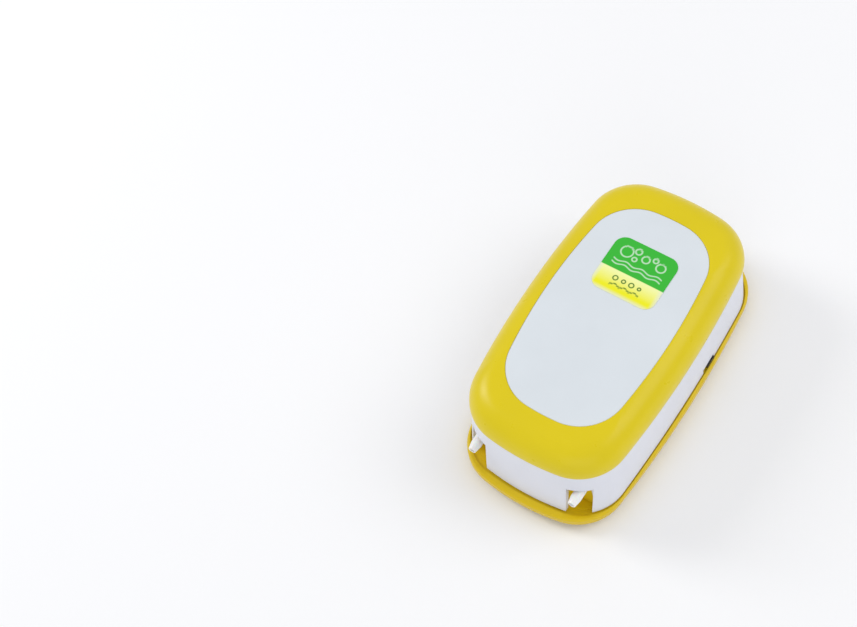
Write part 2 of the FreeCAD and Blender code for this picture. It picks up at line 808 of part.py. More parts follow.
def crown_ball(name, sink):
    made = doc.addObject("Part::Sphere", name)
    bind(made, "Radius", d.crown_radius - sink)
    return place(made, (0, 0, d.overall_height - d.crown_radius))


def make_badge():
    """A thin rounded label that follows the crown of the panel."""
    half = d.badge_width / 2
    body = prism("badge_plan", [(-half, d.badge_from_centre), (half, d.badge_from_centre),
                                (half, d.badge_from_centre + d.badge_length),
                                (-half, d.badge_from_centre + d.badge_length)],
                 d.lid_bottom, d.overall_height + 2)
    rounded(body, d.badge_corner, upright_edge)
    sheet = common("badge_sheet", body, crown_ball("badge_top", d.panel_sink - d.badge_thick))
    under = crown_ball("badge_under", d.panel_sink - 0.02)
    return keep(cut("badge", sheet, [under]), "badge_label")


# ---------------------------------------------------------------- outlets and hoses


def outlet(name):
    """The spout in a bay, with a collar behind the bay wall and a barb for the inner hose."""
    r, bore, tip = d.outlet_radius, d.outlet_bore, d.outlet_tip_radius
    collar = r + 1.6
    back = -(bay_back + d.bay_wall)
    wall_front = -bay_back
    root = r + outlet_shoulder
    profile = [(bore, back - 8), (barb - 0.4, back - 8), (barb, back - 6.8), (barb, back - 1.2),
               (collar, back - 1.2), (collar, back), (root, back), (root, wall_front), (r, wall_front),
               (r, wall_front + d.outlet_length - 3.8),
               (tip, wall_front + d.outlet_length - 0.4),
               (tip - 0.3, wall_front + d.outlet_length), (bore, wall_front + d.outlet_length)]
    return turned(name, profile, (d.outlet_offset, 0, d.outlet_height), TO_FRONT)


def hose(name):
    """The short inner hose between a pump head and its outlet."""
    start = -(head_front - 1)
    stop = -(bay_back + d.bay_wall) - 1.5
    profile = [(d.hose_bore, start), (d.hose_radius, start), (d.hose_radius, stop),
               (d.hose_bore, stop)]
    return turned(name, profile, (d.outlet_offset, 0, d.outlet_height), TO_FRONT)


# ---------------------------------------------------------------- pump heads


def head_screw_places():
    reach = d.head_screw_reach
    return [(-d.head_y + a * reach, d.outlet_height + b * reach) for a in (-1, 1) for b in (-1, 1)]


def chamber(name):
    """The valve plate with the collar that the diaphragm is stretched over."""
    plate = box(name + "_plate", (d.head_face, cover_face), (head_front, head_rear),
                (head_low, head_high))
    collar = rod(name + "_collar", d.collar_radius,
                 (d.head_face - d.collar_depth, -d.head_y, d.outlet_height),
                 d.collar_depth, TO_RIGHT)
    room = rod(name + "_room", d.collar_radius - 1.5,
               (d.head_face - d.collar_depth - 1, -d.head_y, d.outlet_height),
               d.collar_depth + 1, TO_RIGHT)
    tools = [room]
    for port, y in (("in", -d.head_y + d.port_offset), ("out", -d.head_y - d.port_offset)):
        tools.append(rod(f"{name}_port_{port}", d.port_radius, (d.head_face - 1, y, d.outlet_height),
                         d.head_plate + 2, TO_RIGHT))
    for i, (y, z) in enumerate(head_screw_places()):
        tools.append(rod(f"{name}_thread_{i}", head_screw + d.pin_clearance,
                         (d.head_face - 1, y, z), d.head_plate + 2, TO_RIGHT))
    for port, x, y in (("in", d.head_face, inlet_hinge_y), ("out", cover_face, outlet_hinge_y)):
        tools.append(rod(f"{name}_groove_{port}", d.flap_bead + 0.08,
                         (x, y, d.outlet_height - d.flap_width / 2 - 0.3),
                         d.flap_width + 0.6))
    return cut(name, fused(name + "_body", [plate, collar]), tools)


def cover(name):
    """The two-chamber cover: fresh air enters behind, pressed air leaves by the front spigot."""
    w = d.head_wall
    block = box(name + "_block", (cover_face, cover_back), (head_front, head_rear),
                (head_low, head_high))
    cover_mid = (cover_face + cover_back) / 2
    foot = box(name + "_foot", (cover_mid - 4, cover_mid + 3), (head_front + 4, head_rear - 4),
               (floor_top, head_low))
    spigot = rod(name + "_spigot", barb, (d.outlet_offset, head_front, d.outlet_height), 7, TO_FRONT)
    posts = []
    threads = []
    for i, (y, z) in enumerate(head_screw_places()):
        posts.append(rod(f"{name}_post_{i}", 2.4, (cover_face, y, z), d.head_cover_depth, TO_RIGHT))
        threads.append(rod(f"{name}_hole_{i}", head_screw + d.slip, (cover_face - 1, y, z),
                           d.head_cover_depth + 2, TO_RIGHT))
    inner_z = (head_low + w, head_high - w)
    press_room = box(name + "_press_room", (cover_face - 1, cover_back - w),
                     (head_front + w, -d.head_y - w / 2), inner_z)
    intake_room = box(name + "_intake_room", (cover_face - 1, cover_back - w),
                      (-d.head_y + w / 2, head_rear - w), inner_z)
    shell = cut(name + "_shell", fused(name + "_body", [block, foot, spigot]),
                [press_room, intake_room])
    post_set = common(name + "_posts", fused(name + "_post_rods", posts),
                      box(name + "_post_room", (cover_face, cover_back), (head_front, head_rear),
                          (head_low, head_high)))
    bore = rod(name + "_bore", d.outlet_bore, (d.outlet_offset, head_front + w + 1,
               d.outlet_height), w + 10, TO_FRONT)
    intake = rod(name + "_intake", d.port_radius + 0.5,
                 (cover_back - w - 1, -d.head_y + d.port_offset + 1, d.outlet_height),
                 w + 2, TO_RIGHT)
    return cut(name, fused(name + "_whole", [shell, post_set]), [bore, intake, *threads])


def flap(name, x, hinge_y, length, outward):
    """A rubber valve flap that hangs from a round bead along its hinge edge."""
    low_z = d.outlet_height - d.flap_width / 2
    bead = rod(name + "_bead", d.flap_bead, (x, hinge_y, low_z), d.flap_width)
    far = x + outward * d.flap_thick
    x_span = (x + 0.05, far) if outward > 0 else (far, x - 0.05)
    y_span = (hinge_y, hinge_y + length) if length.value > 0 else (hinge_y + length, hinge_y)
    leaf = box(name + "_leaf", x_span, y_span, (low_z, low_z + d.flap_width))
    return fused(name, [bead, leaf])


def diaphragm(name):
    """A soft cup: a thick middle, a folded ring and a skirt stretched over the collar."""
    boss, outer = d.diaphragm_boss, d.collar_radius + d.slip
    skirt = outer + 1.8
    rim = d.collar_depth - 1.6 + 3.1
    profile = [(head_screw, boss_low), (boss, boss_low), (boss + 0.6, 0.9), (boss + 2, 0.1),
               (boss + 3.4, -0.3), (boss + 5, 0.3), (boss + 6.6, 0.9), (skirt, 0.9),
               (skirt, rim), (outer, rim), (outer, 2.1), (boss + 6.2, 2.1), (boss + 4.8, 1.5),
               (boss + 3.4, 1.1), (boss + 2.2, 1.4), (boss + 0.9, 2.1), (boss, boss_low + 2.6),
               (head_screw, boss_low + 2.6)]
    return turned(name, profile, (diaphragm_x, -d.head_y, d.outlet_height), TO_RIGHT)


def diaphragm_washers(name):
    rings = []
    for which, x in (("outer", boss_face - d.washer_thick), ("inner", boss_face + 2.6)):
        disc = rod(f"{name}_{which}_disc", d.diaphragm_boss, (x, -d.head_y, d.outlet_height),
                   d.washer_thick, TO_RIGHT)
        hole = rod(f"{name}_{which}_hole", arm_screw + d.slip, (x - 1, -d.head_y,
                   d.outlet_height), d.washer_thick + 2, TO_RIGHT)
        rings.append(cut(f"{name}_{which}", disc, [hole]))
    return grouped(name, rings)


def diaphragm_screw(name):
    head_x = boss_face + 2.6 + d.washer_thick + 2
    length = head_x - 2 - arm_outer + 1.8
    return screw(name, (head_x, -d.head_y, d.outlet_height), as_size(2.7), as_size(2),
                 as_size(arm_screw), length, TO_LEFT)


def head_screws(name):
    screws = []
    for i, (y, z) in enumerate(head_screw_places()):
        screws.append(screw(f"{name}_{i}", (cover_back + 1.8, y, z), as_size(2.2), as_size(1.8),
                            as_size(head_screw), cover_back - d.head_face - 0.2, TO_LEFT))
    return grouped(name, screws)


# ---------------------------------------------------------------- magnet arms and their pivots


def arm(name):
    """A lever from the pivot past the diaphragm to the magnet holder at its rear end."""
    low_z = d.outlet_height - d.arm_height / 2
    high_z = d.outlet_height + d.arm_height / 2
    half = d.arm_thick / 2
    beam = box(name + "_beam", (d.pivot_x - half, d.pivot_x + half), (-d.pivot_y, holder_front),
               (low_z, high_z))
    knuckle = rod(name + "_knuckle", bush_radius + 1.6, (d.pivot_x, -d.pivot_y, low_z), d.arm_height)
    boss = rod(name + "_boss", 4, (d.pivot_x, -d.head_y, d.outlet_height),
               boss_face - d.washer_thick - d.pivot_x, TO_RIGHT)
    holder = box(name + "_holder", (d.magnet_x - d.magnet_width / 2 - 1,
                                    d.magnet_x + d.magnet_width / 2 + 1),
                 (holder_front, magnet_front), (d.core_low - 0.5, core_high + 0.5))
    bore = rod(name + "_bore", bush_radius + 0.02, (d.pivot_x, -d.pivot_y, low_z - 1),
               d.arm_height + 2)
    thread = rod(name + "_thread", arm_screw + d.pin_clearance,
                 (arm_outer - 2, -d.head_y, d.outlet_height), 8, TO_RIGHT)
    return cut(name, fused(name + "_body", [beam, knuckle, boss, holder]), [bore, thread])


def magnet(name):
    half = d.magnet_width / 2
    return box(name, (d.magnet_x - half, d.magnet_x + half),
               (magnet_front, magnet_front + d.magnet_thick), (d.core_low, core_high))


def pivot_bush(name):
    tube = rod(name + "_tube", bush_radius, (d.pivot_x, -d.pivot_y, d.pivot_low + 0.2),
               d.pivot_high - d.pivot_low - 0.4)
    bore = rod(name + "_bore", d.pivot_pin + d.pin_clearance,
               (d.pivot_x, -d.pivot_y, d.pivot_low - 1), d.pivot_high - d.pivot_low + 2)
    return cut(name, tube, [bore])


def pivot_pin(name):
    foot = floor_top + 2.6
    return rod(name, d.pivot_pin, (d.pivot_x, -d.pivot_y, foot), d.pivot_high + 2 - foot)


def make_pivot_bridge():
    """The plate that ties the tops of both pivot pins to the middle post."""
    reach = d.pivot_x + 4.5
    back, side = -d.pivot_y + 4, -d.pivot_y - 3
    tip = -bridge_y - 4
    plate = prism("bridge_plate", [(-reach, back), (-reach, side), (-4.5, tip), (4.5, tip),
                                   (reach, side), (reach, back)], d.pivot_high, d.pivot_high + 2)
    tools = [rod(f"bridge_pin_hole_{side_name}", d.pivot_pin + d.pin_clearance,
                 (side_x(side_name, d.pivot_x), -d.pivot_y, d.pivot_high - 1), 4)
             for side_name in ("right", "left")]
    tools.append(rod("bridge_screw_hole", d.screw_radius + d.slip, (0, -bridge_y,
                     d.pivot_high - 1), 4))
    keep(cut("bridge", plate, tools), "pivot_bridge")
    keep(screw("bridge_screw", (0, -bridge_y, d.pivot_high + 4), d.screw_head, as_size(2),
               d.screw_radius, as_size(11), Rotation(V(1, 0, 0), 180)), "pivot_bridge_screw")


# ---------------------------------------------------------------- electromagnet


def make_core():
    """Separate E-shaped laminations with a hair of varnish between them."""
    leg, front_y, rear_y = d.core_leg, d.core_front, core_rear
    yoke = rear_y - d.core_yoke
    inner, outer = leg / 2, core_half
    window = outer - leg
    outline = [(-outer, front_y), (-window, front_y), (-window, yoke), (-leg, yoke),
               (-leg, front_y), (leg, front_y), (leg, yoke), (window, yoke), (window, front_y),
               (outer, front_y), (outer, rear_y), (-outer, rear_y)]
    count = round((d.magnet_height / d.lamination).value)
    sheets = []
    for i in range(count):
        low = d.core_low + d.lamination * i
        blank = prism(f"lamination_{i}_blank", outline, low, low + d.lamination - d.lamination_gap)
        holes = [rod(f"lamination_{i}_hole_{side}", core_screw + d.slip,
                     (side_x(side, post_x), core_rear_post, low - 1), 3)
                 for side in ("right", "left")]
        sheets.append(cut(f"lamination_{i}", blank, holes))
    return keep(grouped("lamination_stack", sheets), "core_laminations")


def make_core_screws():
    screws = []
    for side in ("right", "left"):
        screws.append(screw(f"core_screw_{side}", (side_x(side, post_x), core_rear_post,
                            core_high + 2), as_size(3), as_size(2), as_size(core_screw),
                            core_high - floor_top - 3.5, Rotation(V(1, 0, 0), 180)))
    return keep(grouped("core_screw_set", screws), "core_screws")


def ring_round_leg(name, inner, outer, y_span):
    """A square tube round the middle leg; inner and outer are measured from the leg's faces."""
    shapes = []
    for part_name, reach in (("outside", outer), ("inside", inner)):
        grow = 1 if part_name == "inside" else 0
        shapes.append(box(f"{name}_{part_name}", (-d.core_leg - reach, d.core_leg + reach),
                          (y_span[0] - grow, y_span[1] + grow),
                          (d.core_low - reach, core_high + reach)))
    return cut(name, shapes[0], [shapes[1]])


def make_coil():
    """The bobbin on the middle leg, its winding and the tape round it."""
    fit = 0.2
    tube = fit + d.bobbin_wall
    low_y, high_y = d.core_front + 0.8, core_rear - d.core_yoke - 0.2
    reach = tube + d.coil_depth + 0.3
    parts = [ring_round_leg("bobbin_tube", fit, tube, (low_y, high_y)),
             ring_round_leg("bobbin_front", fit, reach, (low_y, low_y + 1)),
             ring_round_leg("bobbin_rear", fit, reach, (high_y - 1, high_y))]
    keep(fused("bobbin", parts), "coil_bobbin")
    keep(ring_round_leg("winding", tube + 0.05, tube + d.coil_depth - 0.3,
                        (low_y + 1.1, high_y - 1.1)), "coil_winding")
    keep(ring_round_leg("tape", tube + d.coil_depth - 0.25, tube + d.coil_depth,
                        (low_y + 4, high_y - 4)), "coil_tape")


# ---------------------------------------------------------------- speed switch, leads, gland


def make_switch():
    x = d.switch_board_x
    board = box("board_sheet", (x, x + 1.6), (board_front + 0.1, board_rear - 0.1),
                (board_low + 0.05, board_low + 20))
    keep(board, "switch_board")
    y = d.switch_y - d.switch_travel / 2
    half = 7.6
    inner_face = x + 1.6
    block = box("switch_block", (inner_face, inner_face + 5.4), (y - half, y + half),
                (knob_low - 1.4, knob_high + 1.2))
    room = box("switch_room", (inner_face + 2, inner_face + 7),
               (y - 4, y + 4), (knob_low, knob_high - 0.2))
    keep(cut("switch_housing", block, [room]), "switch_body")
    tang = box("knob_tang", (inner_face + 2.6, inner_face + 7),
               (d.switch_y - 1.5, d.switch_y + 1.5), (knob_low + 0.3, knob_high - 0.5))
    stem = box("knob_stem", (inner_face + 6.2, knob_face),
               (d.switch_y - d.switch_knob_length / 2, d.switch_y + d.switch_knob_length / 2),
               (knob_low, knob_high))
    ribs = [box(f"knob_groove_{i}", (knob_face - 0.4, knob_face + 1),
                (d.switch_y + (i - 2) * 1.1 - 0.2, d.switch_y + (i - 2) * 1.1 + 0.2),
                (knob_low - 1, knob_high + 1)) for i in range(5)]
    keep(cut("knob", fused("knob_body", [tang, stem]), ribs), "switch_knob")


def make_diode():
    """A small diode with bent leads on the inner face of the board."""
    x = d.switch_board_x - 1.6
    y = board_front + 9
    z = board_low + 15
    parts = [rod("diode_can", 1.35, (x, y, z), 5.2, TO_REAR),
             rod("diode_wire", 0.35, (x, y - 2, z), 9.2, TO_REAR)]
    for name, leg_y in (("front", y - 1.9), ("rear", y + 7.1)):
        parts.append(rod(f"diode_leg_{name}", 0.35, (x, leg_y, z), 1.6, TO_RIGHT))
    return keep(fused("diode", parts), "power_diode")


def lead(name, at, run, bend, drop, turn):
    """A wire that runs along its X axis, bends once through a right angle and drops along -Z."""
    r = d.lead_radius
    first = rod(name + "_run", r, (0, 0, 0), run, TO_RIGHT)
    curve = doc.addObject("Part::Torus", name + "_bend")
    bind(curve, "Radius1", bend)
    bind(curve, "Radius2", r)
    curve.Angle3 = 90
    place(curve, (run, 0, -as_size(bend)), Rotation(V(1, 1, 1), -120))
    second = rod(name + "_drop", r, (run + bend, 0, -as_size(bend) - drop), drop)
    return keep(place(fused(name + "_wire", [first, curve, second]), at, turn), name)


def make_leads():
    """Two coil leads and the link from the terminal block to the board, in wide single bends."""
    board_mid = d.switch_board_x + 0.8
    board_top = board_low + 20
    flange = d.core_leg + 1.2 + d.coil_depth + 0.3
    flange_y = core_rear - d.core_yoke - 1
    lead_z = core_high + 3.5
    bend = as_size(8)
    lead("coil_lead_a", (flange, flange_y, lead_z), board_mid - bend - flange, bend,
         lead_z - bend - board_top, UPRIGHT)
    bend = as_size(9)
    lead("coil_lead_b", (-4, flange_y + 0.8, lead_z), terminal_y - bend - flange_y - 0.8, bend,
         lead_z - bend - terminal_top, Rotation(V(0, 0, 1), 90))
    bend = as_size(7)
    lead("supply_link", (8, terminal_y, board_low + 3), board_mid - bend - 8, bend,
         terminal_y - bend - board_rear + 0.1, TO_REAR)


def make_terminal():
    """The block where the supply cord's two cores would be clamped."""
    block = box("terminal_block", (-8, 8), (terminal_y - 4, terminal_y + 4),
                (floor_top, terminal_top))
    tools = []
    for x in (-3.5, 3.5):
        tools.append(rod(f"terminal_way_{'left' if x < 0 else 'right'}", 1.5,
                         (x, terminal_y + 5, floor_top + 4), 5, TO_FRONT))
        tools.append(rod(f"terminal_screw_well_{'left' if x < 0 else 'right'}", 1.2,
                         (x, terminal_y + 2, floor_top + 4), 8))
    return keep(cut("terminal", block, tools), "cord_terminal")


def make_gland():
    """The rubber sleeve in the rear wall that the supply cord passes through."""
    inner, outer = gland_outer - gland_depth, gland_outer
    profile = [(d.gland_bore, inner - 1.6), (gland_neck + 1.6, inner - 1.6),
               (gland_neck + 1.6, inner), (gland_neck, inner), (gland_neck, outer),
               (gland_neck + 2.4, outer), (gland_neck + 2.2, outer + 1),
               (gland_neck + 1, outer + 1.8), (d.gland_bore, outer + 1.8)]
    return keep(turned("gland", profile, (0, 0, d.gland_height), TO_REAR), "cord_gland")


# ---------------------------------------------------------------- intake filter


def make_filter():
    half, length = d.filter_width / 2, d.filter_length / 2
    low_y, high_y = -d.filter_y - length, length - d.filter_y
    keep(box("felt", (-half + 0.3, half - 0.3), (low_y + 0.3, high_y - 0.3),
             (floor_top - 0.2, pocket_top - 0.1)), "filter_pad")
    plate = box("filter_plate", (-half + d.slip, half - d.slip), (low_y + d.slip, high_y - d.slip),
                (d.foot_stand + 0.1, floor_top - 0.3))
    slots = [box(f"filter_slot_{i}", (-half + 5, half - 5),
                 (-d.filter_y + (i - 2) * 4 - 0.8, -d.filter_y + (i - 2) * 4 + 0.8),
                 (d.foot_stand - 1, floor_top + 1)) for i in range(5)]
    keep(cut("filter_lid", plate, slots), "filter_cover")


# ---------------------------------------------------------------- sizes that the pieces share

bay_inset = d.casing_wall + d.tongue_clearance
tongue_outer = d.casing_wall + d.tongue_clearance
barb = 2.0
outlet_shoulder = 0.3
head_screw = 1.2
arm_screw = 1.2
core_screw = 1.6
bush_radius = d.pivot_pin + 1.5
bridge_y = d.pivot_y + 7.5
screw_pad_rise = as_size(5)
screw_sink = as_size(3)
casing_screw_length = as_size(14)
pocket_top = floor_top + 4
core_rear_post = core_rear - 4
core_front_post = d.core_front + 4
board_low = floor_top + 1.6
board_front = d.switch_y - 17.65
board_rear = board_front + 34
knob_face = wall_at_switch + d.switch_knob_proud
gland_outer = d.casing_length / 2 + 0.8
gland_depth = as_size(5)
gland_neck = d.gland_bore + 1.8
gland_pad = gland_neck + 3.7
terminal_y = core_rear + 12
terminal_top = floor_top + 9
inlet_hinge_y = -d.head_y + d.port_offset + 4
outlet_hinge_y = -d.head_y - d.port_offset - 4
arm_outer = d.pivot_x + d.arm_thick / 2
boss_face = arm_outer + 1.6
boss_low = -0.8
diaphragm_x = boss_face + 0.8
magnet_front = d.core_front - d.air_gap - d.magnet_thick
holder_front = magnet_front - 2.5

make_base_tray()
make_feet()
make_casing_screws()
make_upper_casing()
make_bezel_ring()
make_top_panel()
make_badge()
both_sides(outlet, "outlet_nozzle")
both_sides(hose, "outlet_hose")
both_sides(chamber, "pump_chamber")
both_sides(cover, "valve_cover")
both_sides(lambda name: flap(name, d.head_face, inlet_hinge_y, as_size(-6.5), -1), "inlet_flap")
both_sides(lambda name: flap(name, cover_face, outlet_hinge_y, as_size(6.5), 1), "outlet_flap")
both_sides(diaphragm, "diaphragm")
both_sides(diaphragm_washers, "diaphragm_washers")
both_sides(diaphragm_screw, "diaphragm_screw")
both_sides(head_screws, "head_screws")
both_sides(arm, "arm")
both_sides(magnet, "magnet")
both_sides(pivot_bush, "pivot_bush")
both_sides(pivot_pin, "pivot_pin")
make_pivot_bridge()
make_core()
make_core_screws()
make_coil()
make_switch()
make_diode()
make_leads()
make_terminal()
make_gland()
make_filter()
doc.recompute()

for item in doc.Objects:
    if "Invalid" in item.State or "Error" in item.State:
        raise RuntimeError(f"{item.Name} did not recompute")
os.makedirs("parts", exist_ok=True)
for item in nodes:
    shape = item.Shape
    if shape.isNull() or not shape.isValid() or not shape.Solids:
        raise RuntimeError(f"{item.Label} has no sound shape")
    shape.exportStep(f"parts/{item.Label}.step")
    print(f"{item.Label}: {len(shape.Solids)} solid(s), {shape.Volume:.1f} mm3")
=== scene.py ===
# %% [markdown]
# # Aquarium air pump
# A small pump with two air outlets at the front, a speed knob low on its right side and a printed
# label on its lid. The CAD frame is loaded first and stays fixed: every piece made here is in
# metres in that same frame, where +Z is up and the outlets look towards -Y.

import math

import bpy
import numpy as np
from mathutils import Euler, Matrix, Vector


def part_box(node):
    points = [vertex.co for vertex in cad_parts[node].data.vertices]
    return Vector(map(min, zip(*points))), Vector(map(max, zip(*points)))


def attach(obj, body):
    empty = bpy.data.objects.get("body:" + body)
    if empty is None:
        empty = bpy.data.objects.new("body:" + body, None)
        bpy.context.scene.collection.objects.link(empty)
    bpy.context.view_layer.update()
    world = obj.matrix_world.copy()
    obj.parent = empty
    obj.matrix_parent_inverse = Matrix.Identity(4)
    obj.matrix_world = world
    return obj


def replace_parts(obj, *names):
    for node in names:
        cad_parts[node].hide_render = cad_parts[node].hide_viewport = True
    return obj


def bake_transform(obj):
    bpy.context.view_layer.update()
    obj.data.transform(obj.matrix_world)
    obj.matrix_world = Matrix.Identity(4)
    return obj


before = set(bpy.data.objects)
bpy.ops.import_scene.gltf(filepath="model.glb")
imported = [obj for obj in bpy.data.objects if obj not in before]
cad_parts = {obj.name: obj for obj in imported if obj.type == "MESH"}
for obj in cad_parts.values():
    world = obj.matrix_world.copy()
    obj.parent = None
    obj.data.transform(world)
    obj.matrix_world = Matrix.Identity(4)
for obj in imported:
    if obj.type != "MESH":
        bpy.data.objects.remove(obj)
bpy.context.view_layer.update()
MM = 0.001
ROOT = "housing"


def cad_mm(node):
    """A CAD node's lowest and highest corners in millimetres, to a hundredth."""
    return [np.round(np.array(corner) / MM, 2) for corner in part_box(node)]


# %% [markdown]
# ## Camera
# A long lens far above keeps the pump's long sides nearly parallel, as a product shot does. A
# short lens would make the near end swell. The place and turn put the front right corner nearest,
# so that the outlet bays and the knob show together. The lens is given in widths of the frame,
# which is the same view on a sensor of any size.

# %% Camera
FOCAL_WIDTHS = 1908 / 857
CAMERA_PLACE, CAMERA_TURN = (0.21777, -0.35091, 0.80487), (29.048, 5.480, 33.032)


def make_camera(place, turn):
    """Place in metres, and turns about X, Y and Z in degrees."""
    lens = bpy.data.cameras.new("camera")
    lens.sensor_width = 36
    lens.lens = FOCAL_WIDTHS * lens.sensor_width
    lens.clip_start, lens.clip_end = 0.01, 20
    camera = bpy.data.objects.new("camera", lens)
    camera.location = place
    camera.rotation_euler = Euler([math.radians(angle) for angle in turn], "XYZ")
    bpy.context.scene.collection.objects.link(camera)
    return camera


bpy.context.scene.camera = make_camera(CAMERA_PLACE, CAMERA_TURN)
bpy.context.scene.view_settings.view_transform = "Standard"
print("camera lens", round(bpy.context.scene.camera.data.lens, 1), "mm")

# %% [markdown]
# ## Node helpers
# Every finish here is a small tree of shader nodes. One function turns a hex colour into the
# linear numbers that a shader wants, and one adds a node and joins its sockets, so that each
# finish below reads from its texture to its shader.

# %% Colour and node helpers
def linear(colour):
    """sRGB hex to linear: ((c + 0.055) / 1.055) to the power 2.4, or c / 12.92 near black."""
    parts = np.array([int(colour[i:i + 2], 16) for i in (1, 3, 5)]) / 255
    curve = ((parts + 0.055) / 1.055) ** 2.4
    return (*np.where(parts <= 0.04045, parts / 12.92, curve).tolist(), 1.0)


def add(tree, kind, settings=None, **sockets):
    """Adds a node and gives its first output. A socket is named, with _ for a space, or counted: _0."""
    node = tree.nodes.new(kind)
    for name, value in (settings or {}).items():
        setattr(node, name, value)
    for name, value in sockets.items():
        socket = node.inputs[int(name[1:]) if name[1:].isdigit() else name.replace("_", " ")]
        if isinstance(value, bpy.types.NodeSocket):
            tree.links.new(value, socket)
        else:
            socket.default_value = value
    return node.outputs[0] if node.outputs else node


def new_finish(name):
    """An empty material, its node tree, and the piece's own coordinates in millimetres."""
    material = bpy.data.materials.new(name)
    material.use_nodes = True
    tree = material.node_tree
    tree.nodes.clear()
    own = add(tree, "ShaderNodeTexCoord").node.outputs["Object"]
    return material, tree, add(tree, "ShaderNodeVectorMath", {"operation": "SCALE"},
                               Vector=own, Scale=1 / MM)


print("the lid's yellow is", [round(v, 3) for v in linear("#DFC910")], "in linear light")

# %% [markdown]
# ## Moulded plastic and rubber
# Nearly every outer piece is injection moulded. Such a skin is never quite even: the melt leaves
# cloudy flow marks tens of millimetres across, cooling leaves a faint waviness, and a mould that
# was blasted leaves a fine grain. Painting these by hand would not hold at every scale, so noise
# sets them, with each scale in millimetres of the piece.

# %% Moulded finish
FLOW_MARK, SINK_WAVE, HANDLING = 22.0, 9.0, 5.0
SINK_DEPTH, FLOW_TONE = 0.02, 0.018


def moulded(name, colour, rough, grain=0.0, grain_size=0.4, **shader):
    """Plastic or rubber. Colour is the hex times flow noise; height is slow waves plus the grain."""
    material, tree, mm = new_finish(name)
    flow = add(tree, "ShaderNodeTexNoise", Vector=mm, Scale=1 / FLOW_MARK, Detail=4.0)
    tone = add(tree, "ShaderNodeMapRange", Value=flow, From_Min=0.3, From_Max=0.7,
               To_Min=1 - FLOW_TONE, To_Max=1 + FLOW_TONE)
    tinted = add(tree, "ShaderNodeMix", {"data_type": "RGBA", "blend_type": "MULTIPLY"},
                 _0=1.0, _6=linear(colour), _7=tone)
    touched = add(tree, "ShaderNodeTexNoise", Vector=mm, Scale=1 / HANDLING, Detail=6.0)
    gloss = add(tree, "ShaderNodeMapRange", Value=touched, From_Min=0.3, From_Max=0.7,
                To_Min=rough * 0.9, To_Max=rough * 1.15)
    wave = add(tree, "ShaderNodeTexNoise", Vector=mm, Scale=1 / SINK_WAVE, Detail=1.0)
    height = add(tree, "ShaderNodeBump", Height=wave, Strength=1.0, Distance=SINK_DEPTH * MM)
    if grain:
        pits = add(tree, "ShaderNodeTexNoise", Vector=mm, Scale=1 / grain_size, Detail=2.0)
        height = add(tree, "ShaderNodeBump", Height=pits, Strength=1.0, Distance=grain * MM,
                     Normal=height)
    surface = add(tree, "ShaderNodeBsdfPrincipled", Roughness=gloss, Normal=height, IOR=1.49,
                  **{"Base_Color": tinted.node.outputs[2], **shader})
    add(tree, "ShaderNodeOutputMaterial", Surface=surface)
    return material


print("moulded finish ready: flow marks", FLOW_MARK, "mm, waves", SINK_WAVE, "mm")

# %% [markdown]
# ## Outer plastics
# Each could have its own tree of nodes, but these resins differ only in colour, gloss and grain,
# so one recipe with a few numbers keeps them alike and easy to compare. The four ABS skins get a
# weaker reflection than the shader's own, or the wide pale studio would wash their colour out.

# %% Outer plastics
SOFT_SHINE = {"Specular_IOR_Level": 0.3}
# Lid ring: polished mould, so the colour is deep, with a wide soft highlight on the shoulder.
YELLOW_ABS = moulded("polished_yellow_abs", "#DFC910", 0.3, **SOFT_SHINE)
# Tray: the same resin from a duller mould, which reads a little more orange.
TRAY_ABS = moulded("satin_yellow_abs", "#DDBD10", 0.36, **SOFT_SHINE)
# Casing: cool pale grey from a blasted mould, whose fine grain spreads the highlight out.
CASING_ABS = moulded("grained_grey_abs", "#E2E4EC", 0.42, 0.012, 0.35, **SOFT_SHINE)
# Panel: satin and a shade greyer, so it reads as a separate piece in the lid.
PANEL_ABS = moulded("satin_grey_abs", "#DBE1E5", 0.38, **SOFT_SHINE)
# Spouts: white, and light goes a little way in at their thin edges.
SPOUT_PP = moulded("natural_polypropylene", "#F4F4F1", 0.28, Subsurface_Weight=0.12,
                   Subsurface_Scale=1.5 * MM)
# Knob, switch body and diode: nearly black and semi-matt.
KNOB_NYLON = moulded("black_nylon", "#14100C", 0.42, 0.01, 0.3)
print("outer plastics ready")

# %% [markdown]
# ## Rubbers and inner plastics
# Rubber, hose, board and felt are not all moulded, but each is still one colour with cloudy
# unevenness and some grain, so the same recipe serves. What sets them apart to the eye is the
# gloss and what lies on top: sheen for fibres and bloom, a thin coat for wet or varnished skins,
# and light passing a little way into milky ones.

# %% Rubbers and inner plastics
# Diaphragms, cord gland and flaps: nearly black, with the dull velvet bloom of cured rubber.
NITRILE = moulded("nitrile_rubber", "#1B1B1C", 0.62, 0.02, 0.25, Sheen_Weight=0.2)
# Suction cups: soft dark grey PVC with a wet-looking skin.
CUP_PVC = moulded("suction_cup_pvc", "#3A3B3D", 0.42, 0.01, 0.3, Coat_Weight=0.15)
# Hoses: milky, so light goes a little way in.
SILICONE = moulded("hose_silicone", "#C9CFC9", 0.35, Subsurface_Weight=0.3,
                   Subsurface_Scale=2.0 * MM)
# Pump heads, bobbin and terminal: creamy, from a blasted mould.
NATURAL_NYLON = moulded("natural_nylon", "#CFCDC2", 0.44, 0.012, 0.4, Subsurface_Weight=0.05,
                        Subsurface_Scale=1.0 * MM)
# Arms: black, and the glass fibres leave a rougher skin.
ARM_NYLON = moulded("glass_filled_nylon", "#202225", 0.46, 0.015, 0.4)
# Switch board: green lacquer over woven glass.
LAMINATE = moulded("board_laminate", "#1F6B33", 0.32, 0.006, 0.8, Coat_Weight=0.3)
